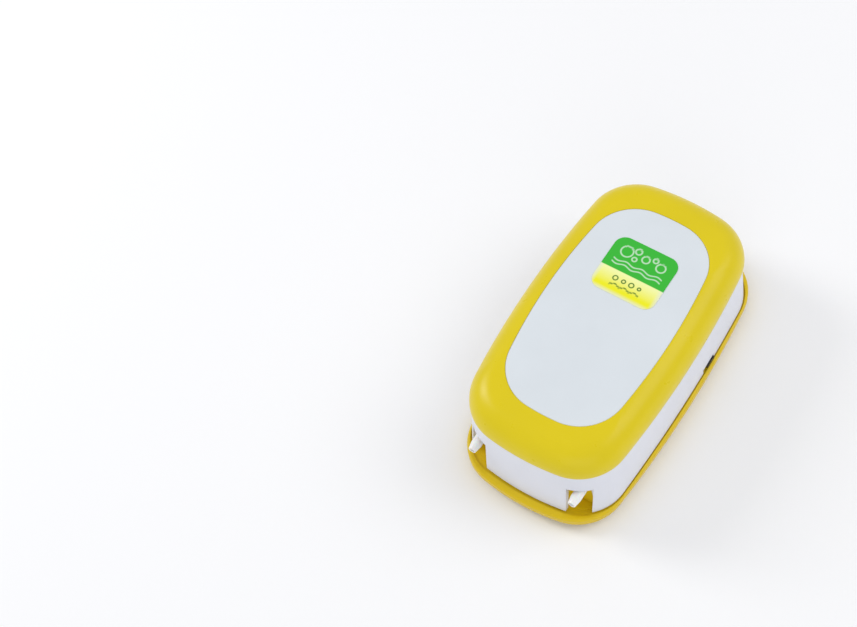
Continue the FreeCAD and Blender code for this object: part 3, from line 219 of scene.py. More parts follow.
# Coil leads: red extruded sleeving. Coil tape: amber film, smooth and shiny.
SLEEVING = moulded("red_pvc_sleeving", "#B3261B", 0.38)
TAPE = moulded("amber_polyester_tape", "#D8A93A", 0.26, Coat_Weight=0.3)
# Magnets: pressed powder, dark grey and matt like fired clay.
FERRITE = moulded("barium_ferrite", "#2B2A2B", 0.6, 0.03, 0.3)
# Air filter: the fibres stand up, so its edge looks soft and light.
FELT = moulded("wool_felt", "#D9D4C4", 0.95, 0.25, 0.7, Sheen_Weight=0.6)
print("rubbers and inner plastics ready")

# %% [markdown]
# ## Metals
# A metal's colour is in its reflection, so the shader is fully metallic and keeps its default IOR.
# Drawing, stamping and plating leave fine lines that spread the highlight across them: noise
# stretched along one way of the piece gives both the lines' height and their uneven gloss.

# %% Metals
STRETCH, LINE_GAP, CLOUD = 14.0, 0.9, 3.0


def drawn_metal(name, colour, rough, line_depth=0.01):
    """Metal with lines along X and Y: noise squeezed STRETCH times along Z."""
    material, tree, mm = new_finish(name)
    squeezed = add(tree, "ShaderNodeMapping", Vector=mm, Scale=(1.0, 1.0, STRETCH))
    lines = add(tree, "ShaderNodeTexNoise", Vector=squeezed, Scale=1 / LINE_GAP, Detail=3.0)
    cloud = add(tree, "ShaderNodeTexNoise", Vector=mm, Scale=1 / CLOUD, Detail=4.0)
    tone = add(tree, "ShaderNodeMapRange", Value=cloud, From_Min=0.3, From_Max=0.7,
               To_Min=0.9, To_Max=1.08)
    tinted = add(tree, "ShaderNodeMix", {"data_type": "RGBA", "blend_type": "MULTIPLY"},
                 _0=1.0, _6=linear(colour), _7=tone)
    gloss = add(tree, "ShaderNodeMapRange", Value=lines, From_Min=0.3, From_Max=0.7,
                To_Min=rough * 0.8, To_Max=rough * 1.3)
    ridges = add(tree, "ShaderNodeBump", Height=lines, Strength=1.0, Distance=line_depth * MM)
    surface = add(tree, "ShaderNodeBsdfPrincipled", Metallic=1.0, Roughness=gloss, Normal=ridges,
                  Base_Color=tinted.node.outputs[2])
    add(tree, "ShaderNodeOutputMaterial", Surface=surface)
    return material


# Screws, pins, washers and bridge: plated, bluish white and fairly bright.
ZINC = drawn_metal("zinc_plated_steel", "#B9BBB8", 0.3)
# Core: bare electrical sheet, darker and duller, with deeper lines at its cut edges.
CORE_STEEL = drawn_metal("silicon_steel_laminations", "#8C8F94", 0.38, 0.03)
# Winding: drawn wire under clear enamel, warm and bright.
ENAMELLED_COPPER = drawn_metal("enamelled_copper_wire", "#B4592B", 0.24, 0.004)
# Bushes: pressed and sintered, yellow and dull from its pores.
BRONZE = drawn_metal("sintered_bronze", "#C59A52", 0.4, 0.03)
print("metals ready")

# %% [markdown]
# ## Finishes on the CAD nodes
# Most small pieces keep their CAD shape, so only their material changes. A short table by name is
# easier to check than a long chain of tests: the longest entry that starts a node's name wins, and
# every fastener and pin is zinc plated.

# %% Give every CAD node its finish
FINISHES = {
    "bezel_ring": YELLOW_ABS, "base_tray": TRAY_ABS, "filter_cover": TRAY_ABS,
    "upper_casing": CASING_ABS, "top_panel": PANEL_ABS, "badge_label": PANEL_ABS,
    "outlet_nozzle": SPOUT_PP, "switch_knob": KNOB_NYLON, "switch_body": KNOB_NYLON,
    "power_diode": KNOB_NYLON, "cord_gland": NITRILE, "inlet_flap": NITRILE,
    "outlet_flap": NITRILE, "diaphragm": NITRILE, "foot": CUP_PVC, "outlet_hose": SILICONE,
    "pump_chamber": NATURAL_NYLON, "valve_cover": NATURAL_NYLON, "cord_terminal": NATURAL_NYLON,
    "coil_bobbin": NATURAL_NYLON, "arm": ARM_NYLON, "switch_board": LAMINATE,
    "coil_lead": SLEEVING, "supply_link": SLEEVING, "coil_tape": TAPE, "magnet": FERRITE,
    "core_laminations": CORE_STEEL, "coil_winding": ENAMELLED_COPPER, "pivot_bush": BRONZE,
    "filter_pad": FELT,
}
PLATED = ("screw", "washers", "pin", "bridge")


def finish_of(node):
    fitting = [start for start in FINISHES if node.startswith(start)]
    if not fitting or any(word in node for word in PLATED):
        return ZINC
    return FINISHES[max(fitting, key=len)]


for node_name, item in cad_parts.items():
    item.data.materials.clear()
    item.data.materials.append(finish_of(node_name))
print("finishes given to", len(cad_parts), "CAD nodes")

# %% [markdown]
# ## Surfaces from grids
# Every new piece is a grid of points, worked out as one array: rows run along the profile and
# columns round it. Faces join neighbours, and a row can be closed by a fan to its middle point.
# Blender's own primitives could be edited into these shapes, but a formula keeps each size exact
# and can be worked out again when a size changes.

# %% Grid to mesh
def surface(name, grid, material, around=True, fans=(False, False), loop=False):
    """A mesh through a (rows, columns, 3) grid in metres; loop joins the last row to the first.

    The sum of centre . normal x area over the faces of a closed piece is three times its volume.
    It is below zero when the faces point inwards, and then they are turned. An open sheet's is
    above zero when it faces away from the origin."""
    grid = np.asarray(grid, float)
    rows, columns = grid.shape[:2]
    points = grid.reshape(-1, 3)
    step = np.arange(columns if around else columns - 1)
    after = (step + 1) % columns
    here = (np.arange(rows if loop else rows - 1) * columns)[:, None]
    above = (here + columns) % len(points)
    quads = np.stack([here + step, here + after, above + after, above + step], 2)
    faces = quads.reshape(-1, 4).tolist()
    for row, wanted in zip((0, rows - 1), fans):
        if wanted:
            edge = np.stack([row * columns + after, row * columns + step], 1)
            edge = edge if row == 0 else edge[:, ::-1]
            middle = np.full((len(step), 1), len(points))
            faces += np.hstack([edge, middle]).tolist()
            points = np.vstack([points, grid[row].mean(axis=0)])
    mesh = bpy.data.meshes.new(name)
    mesh.from_pydata(points.tolist(), [], faces)
    mesh.validate()
    measures = {key: np.zeros(len(mesh.polygons) * size)
                for key, size in (("center", 3), ("normal", 3), ("area", 1))}
    for key, values in measures.items():
        mesh.polygons.foreach_get(key, values)
    outward = (measures["center"] * measures["normal"]).reshape(-1, 3).sum(1)
    if (outward * measures["area"]).sum() < 0:
        mesh.flip_normals()
    mesh.polygons.foreach_set("use_smooth", np.ones(len(mesh.polygons), bool))
    mesh.materials.append(material)
    piece = bpy.data.objects.new(name, mesh)
    bpy.context.scene.collection.objects.link(piece)
    return piece


def placed(piece, node, body=ROOT):
    """The piece rides on its body and stands for one CAD node, which is hidden."""
    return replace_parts(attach(piece, body), node)


print("grid surfaces ready")

# %% [markdown]
# ## Outline of the lid
# Seen from above, the lid and the panel are ovals with flat-ish sides. A superellipse would pinch
# the corners, so each outline is built as a draughtsman would: two long side arcs, two end arcs
# and four corner arcs, each tangent to the next. One quarter is worked out and mirrored.

# %% Oval outline
# Half width, half length, and the radii of the side, the end and the corner.
LID, WINDOW = (41.25, 75.2, 501.0, 124.0, 24.3), (31.1, 57.25, 288.0, 98.0, 22.9)


def oval(half_width, half_length, side, end, corner, steps=(30, 26, 22)):
    """Points and outward normals of an oval, in millimetres, anticlockwise from +X.

    Side, end and corner are the three radii. The corner arc's centre lies side - corner from the
    side arc's centre and end - corner from the end arc's, which two circles' crossing gives."""
    side_x, end_y = half_width - side, half_length - end
    to_side, to_end = side - corner, end - corner
    apart = math.hypot(side_x, end_y)
    along = (to_side ** 2 - to_end ** 2 + apart ** 2) / (2 * apart)
    across = math.sqrt(to_side ** 2 - along ** 2)
    ux, uy = -side_x / apart, end_y / apart
    cx, cy = side_x + along * ux - across * uy, along * uy + across * ux
    first, last = math.atan2(cy, cx - side_x), math.atan2(cy - end_y, cx)
    points, normals = [], []
    for centre, radius, start, stop, count in (((side_x, 0), side, 0, first, steps[0]),
                                               ((cx, cy), corner, first, last, steps[1]),
                                               ((0, end_y), end, last, math.pi / 2, steps[2])):
        turn = np.linspace(start, stop, count, endpoint=False)
        normals.append(np.column_stack([np.cos(turn), np.sin(turn)]))
        points.append(np.array(centre) + radius * normals[-1])
    quarter = (np.vstack([*points, [0, half_length]]), np.vstack([*normals, [0, 1]]))
    half = [np.vstack([q, (q * [-1, 1])[-2::-1]]) for q in quarter]
    return [np.vstack([h, (h * [-1, -1])[1:-1]]) for h in half]


print("the lid's outline has", len(oval(*LID)[0]), "points")

# %% [markdown]
# ## Lid ring
# The ring is one moulding: a short lip that laps over the top of the casing, a rounded bottom
# edge, a wide round shoulder and then the shallow dome that the whole top shares, down to the edge
# of the window. A bevel modifier could not make a shoulder that grows into the dome, so the ring's
# section is swept round the outline, and each point of the section slides from the outer outline
# to the window's.

# %% Lid ring
TOP, DOME, SHOULDER = 58.5, 850.0, 12.5
LIP_BOTTOM, SEAT = cad_mm("bezel_ring")[0][2], 44.3
# The lip's thickness and the height of its rounded foot, the ring's wall and how far the wall
# stands up inside, the small radius at the window, and the ledge under the panel.
LIP, LIP_FOOT, WALL, RISE, BROW, LEDGE = 1.3, 0.35, 2.4, 5.0, 0.4, 2.0


def dome(x, y, sink=0.0):
    """Height of the sphere of radius DOME that touches TOP, sunk by a little."""
    return TOP - DOME + np.sqrt((DOME - sink) ** 2 - x ** 2 - y ** 2)


def lid_ring():
    """Rows follow the section: down the wall's inside and round the lip's foot, up the shoulder's
    arc, over the dome and into the window.

    The shoulder's arc is middle + SHOULDER sin(turn) high at SHOULDER (1 - cos(turn)) inward, and
    its turn stops where the dome's slope is reached."""
    outer, normal = oval(*LID)
    window, _ = oval(*WINDOW)
    border = window - outer
    depth = -(border * normal).sum(1)
    slope = ((outer - normal * SHOULDER) * normal).sum(1) / DOME
    stop = np.arctan2(1, slope)
    turn_in = SHOULDER * (1 - np.cos(stop))
    middle = dome(*(outer + border * (turn_in / depth)[:, None]).T) - SHOULDER * np.sin(stop)
    last = np.minimum(stop, np.arccos(np.clip(1 - (depth - BROW) / SHOULDER, -1, 1)))

    def row(inward, height):
        inward = np.broadcast_to(inward, depth.shape)
        plan = outer + border * (inward / depth)[:, None]
        return np.column_stack([plan, np.broadcast_to(height, depth.shape)])

    rows = [row(WALL, SEAT + RISE), row(WALL, SEAT), row(LIP, SEAT)]
    rows += [row(LIP / 2 * (1 + math.cos(t)), LIP_BOTTOM + LIP_FOOT * (1 - math.sin(t)))
             for t in np.linspace(0, np.pi, 8)]
    for share in np.linspace(0, 1, 24):
        turn = last * share
        rows.append(row(SHOULDER * (1 - np.cos(turn)), middle + SHOULDER * np.sin(turn)))
    reached = SHOULDER * (1 - np.cos(last))
    for share in np.linspace(0, 1, 6)[1:]:
        inward = reached + (depth - BROW - reached) * share
        plan = outer + border * (inward / depth)[:, None]
        arc = middle + np.sqrt(np.maximum(SHOULDER ** 2 - (SHOULDER - inward) ** 2, 0))
        rows.append(row(inward, np.where(inward < turn_in, arc, dome(*plan.T))))
    brow = rows[-1][:, 2]
    rows += [row(depth - BROW * (1 - math.sin(t)), brow - BROW * (1 - math.cos(t)))
             for t in np.linspace(0, np.pi / 2, 6)[1:]]
    rows += [row(depth, brow - WALL), row(depth - LEDGE, brow - WALL)]
    return surface("lid_ring", np.array(rows) * MM, YELLOW_ABS, loop=True)


ring_piece = placed(lid_ring(), "bezel_ring")
print("lid ring:", len(ring_piece.data.polygons), "faces")

# %% [markdown]
# ## Panel
# The panel is let into the ring's window. It follows the same dome a third of a millimetre lower,
# and its edge is turned down over a small radius, which leaves a fine line round it. Cutting both
# from one dome would lose that line; two separate moulded edges make it as on the real lid. Along
# the sides the ring's border is narrower than its shoulder, so the window's edge dips there, and
# the panel dips with it.

# %% Panel
PANEL_GAP, PANEL_SINK, PANEL_ROUND, PANEL_WALL = 0.05, 0.3, 0.3, 3.0
PANEL = tuple(size - PANEL_GAP for size in WINDOW)


def window_drop():
    """How far the ring lies below the dome at the window, where its shoulder is wider than its
    border: SHOULDER less the height of the shoulder's circle that far in, when still on it."""
    outer, normal = oval(*LID)
    window, _ = oval(*WINDOW)
    short = np.maximum(SHOULDER - ((outer - window) * normal).sum(1), 0)
    return SHOULDER - np.sqrt(SHOULDER ** 2 - short ** 2)


def panel():
    """Rows are the outline shrunk towards the middle, closer together near the edge, then a
    quarter circle down the edge. The height is the dome less the window's drop times share^6, so
    the step to the ring is even."""
    drop = window_drop()
    edge, _ = oval(*PANEL)
    inner, _ = oval(*(size - PANEL_ROUND for size in PANEL))
    rows = []
    for share in np.sin(np.linspace(0.08, 1.38, 18)):
        sunk = dome(*(edge * share).T, PANEL_SINK) - drop * share ** 6
        rows.append(np.column_stack([edge * share, sunk]))
    height = dome(*inner.T, PANEL_SINK) - drop
    for turn in np.linspace(0, np.pi / 2, 7):
        plan = inner + (edge - inner) * math.sin(turn)
        rows.append(np.column_stack([plan, height - PANEL_ROUND * (1 - math.cos(turn))]))
    rows.append(np.column_stack([edge, height - PANEL_WALL]))
    return surface("panel_plate", np.array(rows) * MM, PANEL_ABS, fans=(True, True))


panel_piece = placed(panel(), "top_panel")
print("panel:", len(panel_piece.data.polygons), "faces; it dips by up to",
      round(float(window_drop().max()), 2), "mm")

# %% [markdown]
# ## Printed label
# The label is a vinyl film with a rounded outline, green above and yellow below. An image texture
# could hold the print, but a formula stays sharp at any size: each mark is a distance in
# millimetres on the film's own plan, and the ink is stored as a colour on the film's points.
# The marks are plain ones for water and air: rings, waves and small bubbles.

# %% Label ink
LABEL_WIDE, LABEL_LONG, LABEL_FRONT, LABEL_CORNER = 32.0, 30.0, 8.7, 5.5
GREEN_FROM, EDGE = 12.3, 0.24
# Bubbles as (x, y, radius), and the levels of the water lines.
AIR_BUBBLES = ((7.4, 23.0, 2.9), (12.2, 25.4, 1.5), (12.3, 20.9, 1.1), (25.0, 22.6, 2.2),
               (21.2, 25.0, 1.2), (17.0, 23.2, 1.8))
SMALL_BUBBLES = ((9.8, 8.3, 1.15), (14.0, 8.3, 0.9), (18.0, 8.3, 1.15), (22.0, 8.3, 0.75))
WATER_LINES = (15.5, 17.4)
# Widths of the white rings and waves, and of the dark ones below; how far the marks spread to
# each side of the middle; and the width of the pale margin.
RING_LINE, WAVE_LINE, DARK_RING, DARK_WAVE = 0.7, 0.65, 0.6, 0.7
WHITE_HALF, DARK_HALF, MARGIN = 12.4, 7.5, 2.2
GREEN, WHITE, LEMON, PAINTED_HIGHLIGHT_CREAM, FAINT, MOSS = (
    np.array(linear(c)[:3]) for c in ("#2FB82C", "#F7FFF4", "#F1EE06", "#F6FAAA", "#E6EBD8",
                                      "#4C7A22"))


def within(distance):
    """1 where the distance is below zero, 0 above, over a soft step EDGE wide."""
    return np.clip(0.5 - distance / EDGE, 0, 1)


def ring_mark(x, y, cx, cy, radius, line):
    """The distance from the centre, less the radius, lies within half a line's width."""
    return within(np.abs(np.hypot(x - cx, y - cy) - radius) - line / 2)


def wave_mark(x, y, level, swing, length, line):
    """The height above level + swing sin(2 pi x / length) lies within half a line's width."""
    return within(np.abs(y - level - swing * np.sin(x * 2 * np.pi / length)) - line / 2)


def laid_over(under, mark, ink):
    """Under where the mark is 0 and ink where it is 1, mixed between."""
    return under + (ink - under) * mark[..., None]


def label_ink(x, y):
    """Colour at x, y millimetres from the film's front left corner."""
    white = np.zeros_like(x)
    for cx, cy, radius in AIR_BUBBLES:
        white = np.maximum(white, ring_mark(x, y, cx, cy, radius, RING_LINE))
    for level in WATER_LINES:
        white = np.maximum(white, wave_mark(x, y, level, 0.5, 8.0, WAVE_LINE))
    inside = within(np.maximum(np.abs(x - LABEL_WIDE / 2) - WHITE_HALF, 0) - 0.01)
    top = laid_over(np.broadcast_to(GREEN, (*x.shape, 3)), white * inside, WHITE)
    # The lemon yellow is print; its fade to cream towards the green band is a painted soft highlight.
    low = laid_over(np.broadcast_to(LEMON, (*x.shape, 3)), np.clip((y - 3.5) / 8, 0, 1), PAINTED_HIGHLIGHT_CREAM)
    margin = np.minimum(np.minimum(x, LABEL_WIDE - x), y)
    low = laid_over(low, np.clip(1 - margin / MARGIN, 0, 1) * 0.8, FAINT)
    moss = wave_mark(x, y, 5.0, 0.5, 5.0, DARK_WAVE)
    moss = moss * within(np.abs(x - LABEL_WIDE / 2) - DARK_HALF)
    for cx, cy, radius in SMALL_BUBBLES:
        moss = np.maximum(moss, ring_mark(x, y, cx, cy, radius, DARK_RING))
    low = laid_over(low, moss, MOSS)
    return laid_over(low, within(GREEN_FROM - y), top)


print("label ink ready")

# %% [markdown]
# ### The film
# The film is a sheet on a grid: rows run along it, and each row is as wide as the rounded outline
# is there. It follows the dome and gets its thickness from a Solidify modifier.

# %% Label film
FILM_SINK, FILM_THICK = 0.12, 0.15


def label_finish():
    """Vinyl with the points' ink for its colour, under a thin clear coat that is smoother."""
    material, tree, mm = new_finish("printed_vinyl_film")
    ink = add(tree, "ShaderNodeAttribute", {"attribute_name": "ink"})
    handled = add(tree, "ShaderNodeTexNoise", Vector=mm, Scale=1 / HANDLING, Detail=5.0)
    gloss = add(tree, "ShaderNodeMapRange", Value=handled, To_Min=0.24, To_Max=0.36)
    surface_out = add(tree, "ShaderNodeBsdfPrincipled", Base_Color=ink, Roughness=gloss,
                      Coat_Weight=0.25, Coat_Roughness=0.12, IOR=1.49, Specular_IOR_Level=0.4)
    add(tree, "ShaderNodeOutputMaterial", Surface=surface_out)
    return material


def label_film():
    """Half the width is full between the corners, and half - r + sqrt(r^2 - t^2) within them,
    where r is the corner's radius and t how far into it the row lies."""
    bend = LABEL_CORNER * (1 - np.cos(np.linspace(0, np.pi / 2, 14)))
    straight = np.linspace(LABEL_CORNER, LABEL_LONG - LABEL_CORNER, 120)[1:-1]
    y = np.concatenate([bend, straight, LABEL_LONG - bend[::-1]])
    into = np.maximum(np.abs(y - LABEL_LONG / 2) - (LABEL_LONG / 2 - LABEL_CORNER), 0)
    half = LABEL_WIDE / 2 - LABEL_CORNER + np.sqrt(LABEL_CORNER ** 2 - into ** 2)
    x = np.linspace(-1, 1, 200) * half[:, None]
    y = np.broadcast_to(y[:, None], x.shape)
    grid = np.stack([x, y + LABEL_FRONT, dome(x, y + LABEL_FRONT, FILM_SINK)], 2)
    piece = surface("label_film", grid * MM, label_finish(), around=False)
    ink = np.ones((x.size, 4), np.float32)
    ink[:, :3] = label_ink(x + LABEL_WIDE / 2, y).reshape(-1, 3)
    piece.data.color_attributes.new("ink", "FLOAT_COLOR", "POINT").data.foreach_set(
        "color", ink.ravel())
    thickness = piece.modifiers.new("film_thickness", "SOLIDIFY")
    thickness.thickness, thickness.offset = FILM_THICK * MM, -1.0
    return piece


film_piece = placed(label_film(), "badge_label")
print("label film:", len(film_piece.data.polygons), "faces")

# %% [markdown]
# ## Turned shapes
# Spouts, hoses, suction cups, the gland and the diaphragms are all round, so each is one section
# turned about an axis. A cylinder with bevels would give even edges; a drawn section lets each
# corner have the radius that its mould would leave.

# %% Section and lathe
def softened(corners, radius, steps=5):
    """A closed section whose corners P become curves (1-t)^2 A + 2t(1-t) P + t^2 B, where A and
    B lie radius before and after the corner, or less on a short side."""
    corners = np.asarray(corners, float)
    before, after = np.roll(corners, 1, 0), np.roll(corners, -1, 0)
    ends = []
    for other in (before, after):
        gap = np.linalg.norm(other - corners, axis=1, keepdims=True)
        ends.append(corners + (other - corners) / gap * np.minimum(radius, 0.45 * gap))
    t = np.linspace(0, 1, steps)[:, None, None]
    curve = (1 - t) ** 2 * ends[0] + 2 * t * (1 - t) * corners + t ** 2 * ends[1]
    return np.swapaxes(curve, 0, 1).reshape(-1, 2)


def turned(name, section, at, axis, material, around=64, bored=True):
    """Each (radius, distance) of the section goes to at + distance axis + radius spoke(turn). A
    shape with no bore has an open section, and a fan closes each end at the axis."""
    axis = np.asarray(axis, float)
    side = np.array([0.0, 0, 1]) if abs(axis[2]) < 0.5 else np.array([1.0, 0, 0])
    turn = np.linspace(0, 2 * np.pi, around, endpoint=False)[:, None]
    spoke = np.cos(turn) * side + np.sin(turn) * np.cross(axis, side)
    grid = section[:, :1, None] * spoke + section[:, 1:, None] * axis + np.asarray(at, float)
    return surface(name, grid * MM, material, fans=(not bored, not bored), loop=bored)


SIDES = (("right", 1), ("left", -1))
print("a softened square has", len(softened([(0, 0), (1, 0), (1, 1), (0, 1)], 0.2)), "points")

# %% [markdown]
# ## Spouts and hoses
# Each outlet is a hollow spout with a shoulder at its root, a collar that holds it in the bay's
# wall and a barb behind it. The airline's end is a plain bore. Inside, a short silicone hose is
# pushed over the barb, so the hose is a tube with soft cut ends. A bore cut by a Boolean would
# leave ragged faces, so bore and outside are one section, turned together.

# %% Spouts and hoses
SPOUT_LOW, SPOUT_HIGH = cad_mm("outlet_nozzle_right")
OUTLET_X, OUTLET_Z = ((SPOUT_LOW + SPOUT_HIGH) / 2)[[0, 2]].tolist()
BARB_BACK, SPOUT_TIP = -SPOUT_HIGH[1], -SPOUT_LOW[1]
WALL_BACK, WALL_FRONT = 61.8, 63.0
HOSE_LOW, HOSE_HIGH = cad_mm("outlet_hose_right")


def spout(side, sign):
    """Distances run forwards from the pump's middle; the bore is 1.3 mm in radius throughout."""
    bore, barb, collar, root, body, tip = 1.3, 2.0, 4.1, 2.8, 2.5, 1.9
    section = softened([(bore, BARB_BACK), (barb - 0.3, BARB_BACK), (barb, BARB_BACK + 1.2),
                        (barb, WALL_BACK), (collar, WALL_BACK), (collar, WALL_FRONT),
                        (root, WALL_FRONT), (root, WALL_FRONT + 1.9), (body, WALL_FRONT + 2.2),
                        (body, SPOUT_TIP - 3.8), (tip, SPOUT_TIP - 0.4), (tip - 0.2, SPOUT_TIP),
                        (bore, SPOUT_TIP)], 0.3)
    return turned(f"spout_{side}", section, (sign * OUTLET_X, 0, OUTLET_Z), (0, -1, 0), SPOUT_PP)


def inner_hose(side, sign):
    """A tube over the CAD hose's length, with its two ends a little rounded."""
    bore, outside, back, front = 2.05, 3.25, -HOSE_HIGH[1], -HOSE_LOW[1]
    section = softened([(bore, back), (outside, back), (outside, front), (bore, front)], 0.3)
    return turned(f"hose_{side}", section, (sign * OUTLET_X, 0, OUTLET_Z), (0, -1, 0), SILICONE)


for side_name, side_sign in SIDES:
    placed(spout(side_name, side_sign), f"outlet_nozzle_{side_name}")
    placed(inner_hose(side_name, side_sign), f"outlet_hose_{side_name}")
print("spouts reach", SPOUT_TIP, "mm in front of the middle")

# %% [markdown]
# ## Suction cups and cord gland
# The feet are soft PVC cups: a hollow bell with a flat sealing lip, a waist that snaps into the
# tray, and a button above it. The gland is a rubber grommet with a groove that the casing's edge
# sits in, and a bore for the lead. Soft rubber has no sharp corner anywhere, so both are drawn as
# a section with every corner softened and then turned.

# %% Suction cups and gland
def suction_cup(name, x, y):
    """The section's first and last corners lie on the axis; of their curves only the outer end
    is kept."""
    steps = 5
    section = softened([(0.0, 1.35), (2.6, 1.3), (4.9, 0.7), (6.5, 0.0), (7.95, 0.0), (8.0, 0.5),
                        (6.6, 1.5), (5.0, 2.3), (4.4, 2.98), (2.5, 2.98), (2.5, 5.42), (3.9, 5.42),
                        (3.8, 6.3), (1.7, 8.55), (0.0, 8.6)], 0.45, steps)
    return turned(name, section[steps - 1:1 - steps], (x, y, 0), (0, 0, 1), CUP_PVC, bored=False)


def gland():
    """A section round the Y axis from back to front, at the height of the lead."""
    bore, back, front, height = 3.1, 78.9, 70.6, 18.0
    section = softened([(bore, back), (bore, front), (6.4, front), (6.5, 72.1), (4.9, 72.2),
                        (4.9, 77.2), (7.3, 77.2), (7.2, 78.1), (6.0, back)], 0.35)
    return turned("gland_sleeve", section, (0, 0, height), (0, 1, 0), NITRILE)


for side_name, side_sign in SIDES:
    for end in ("front", "rear"):
        low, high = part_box(f"foot_{end}_{side_name}")
        middle = (low + high) / 2 / MM
        placed(suction_cup(f"cup_{end}_{side_name}", middle.x, middle.y),
               f"foot_{end}_{side_name}")
placed(gland(), "cord_gland")
print("four suction cups and the gland")

# %% [markdown]
# ## Diaphragms
# The heart of the pump: a thin moulded rubber dish. Its rim is clamped by the pump head and stays
# with the housing, a flat boss in the middle is clamped between two washers and follows the arm,
# and one rolled fold between them takes up the stroke.

# %% Diaphragms
DISH_LOW, DISH_HIGH = cad_mm("diaphragm_right")
HEAD_Y, HEAD_Z = ((DISH_LOW + DISH_HIGH) / 2)[1:].tolist()
# The section's zero on X, and the radii where the boss ends and the clamped rim begins.
BOSS_X, BOSS_RADIUS, CLAMP_RADIUS = 11.4, 5.8, 12.5


def diaphragm(side, sign):
    """A rubber dish turned about X at the pump head, with its place baked into its points; it stands
    for the CAD diaphragm, which is hidden.
    """
    section = softened([(1.25, -0.8), (5.0, -0.8), (5.6, 0.8), (7.0, 0.15), (8.4, -0.25),
                        (10.0, 0.25), (11.6, 0.9), (14.85, 0.95), (14.9, 6.45), (13.15, 6.45),
                        (13.1, 2.15), (11.2, 2.05), (9.8, 1.5), (8.4, 1.15), (7.2, 1.4),
                        (5.9, 2.0), (5.0, 1.8), (1.25, 1.8)], 0.9, 6)
    piece = turned(f"diaphragm_dish_{side}", section, (sign * BOSS_X, HEAD_Y, HEAD_Z),
                   (sign, 0, 0), NITRILE, 72)
    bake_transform(piece)
    points = np.zeros(len(piece.data.vertices) * 3)
    piece.data.vertices.foreach_get("co", points)
    x, y, z = points.reshape(-1, 3).T / MM
    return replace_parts(piece, f"diaphragm_{side}")


for side_name, side_sign in SIDES:
    diaphragm(side_name, side_sign)
print("diaphragms bend from radius", BOSS_RADIUS, "to", CLAMP_RADIUS, "mm")

# %% [markdown]
# ## Coil winding
# The coil is a few thousand turns of enamelled wire. Drawing them all would show nothing more
# than the outer layer does, so one helix makes that layer, a wire's width between turns, drawn a
# little coarser than the real wire so that it shows. A plain block fills the layers below it.

# %% Winding
COIL_LOW, COIL_HIGH = cad_mm("coil_winding")
LEG_HALF_X, LEG_HALF_Z, LEG_Z = 7.0, 8.0, ((COIL_LOW + COIL_HIGH) / 2)[2]
WIRE_RADIUS, WIRE_PITCH = 0.27, 0.56
# How far each loop stands off the leg: the outer layer, and the block below it.
LAYER, BLOCK_INNER, BLOCK_OUTER = 5.6, 1.26, 5.5
FIRST_TURN, LAST_TURN = COIL_LOW[1] + 0.3, COIL_HIGH[1] - 0.3
BLOCK_FRONT, BLOCK_BACK = COIL_LOW[1] + 0.05, COIL_HIGH[1] - 0.05
# Each corner's way out in X and Z, and where its quarter turn starts, in half turns.
CORNER_SPREAD = ((1, 1, 0.0), (-1, 1, 0.5), (-1, -1, 1.0), (1, -1, 1.5))


def round_the_leg(reach, corner, steps=8):
    """A rounded rectangle at a distance from the leg, in X and Z, with its outward directions."""
    half = np.array([LEG_HALF_X, LEG_HALF_Z]) + reach - corner
    points, ways = [], []
    for x_sign, z_sign, start in CORNER_SPREAD:
        turn = np.linspace(start, start + 0.5, steps) * np.pi
        ways.append(np.column_stack([np.cos(turn), np.sin(turn)]))
        points.append(half * (x_sign, z_sign) + corner * ways[-1] + (0, LEG_Z))
    return np.vstack(points), np.vstack(ways)


def winding_layer():
    """The helix's middle goes round the loop while y grows by one pitch a turn; a circle of
    WIRE_RADIUS is carried along it."""
    loop, way = round_the_leg(LAYER, 4.5)
    turns = int((LAST_TURN - FIRST_TURN) / WIRE_PITCH)
    middle, outward = np.tile(loop, (turns, 1)), np.tile(way, (turns, 1))
    y = FIRST_TURN + WIRE_PITCH * np.arange(len(middle)) / len(loop)
    round_wire = np.linspace(0, 2 * np.pi, 6, endpoint=False)
    plan = middle[:, None] + outward[:, None] * (WIRE_RADIUS * np.cos(round_wire))[None, :, None]
    height = y[:, None] + WIRE_RADIUS * np.sin(round_wire)
    grid = np.stack([plan[..., 0], height, plan[..., 1]], 2)
    return surface("winding_wire", grid * MM, ENAMELLED_COPPER, fans=(True, True))


def winding_block():
    """Four rounded rectangles joined in a ring: inner and outer, at the front and at the back."""
    rows = []
    for reach, y in ((BLOCK_INNER, BLOCK_FRONT), (BLOCK_OUTER, BLOCK_FRONT),
                     (BLOCK_OUTER, BLOCK_BACK), (BLOCK_INNER, BLOCK_BACK)):
        loop, way = round_the_leg(reach, max(0.6, reach * 0.8))
        rows.append(np.column_stack([loop[:, 0], np.full(len(loop), y), loop[:, 1]]))
    return surface("winding_block", np.array(rows) * MM, ENAMELLED_COPPER, loop=True)


wire_piece = placed(winding_layer(), "coil_winding")
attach(winding_block(), ROOT)
print("winding:", int((LAST_TURN - FIRST_TURN) / WIRE_PITCH), "turns in the outer layer")

# %% [markdown]
# ## Air filter
# Air comes in through a square of thick wool felt under the tray. Felt has no weave: it is cut
# with a knife, so its faces are nearly flat, its edges stand a little rounded, and the surface
# undulates where fibres are matted. Simulated cloth would puff it up like a cushion, which felt
# this dense never does, so a short wave makes the unevenness and the finish adds the fibres.

# %% Felt pad
TUFT, EDGE_DROP = 0.12, 0.45


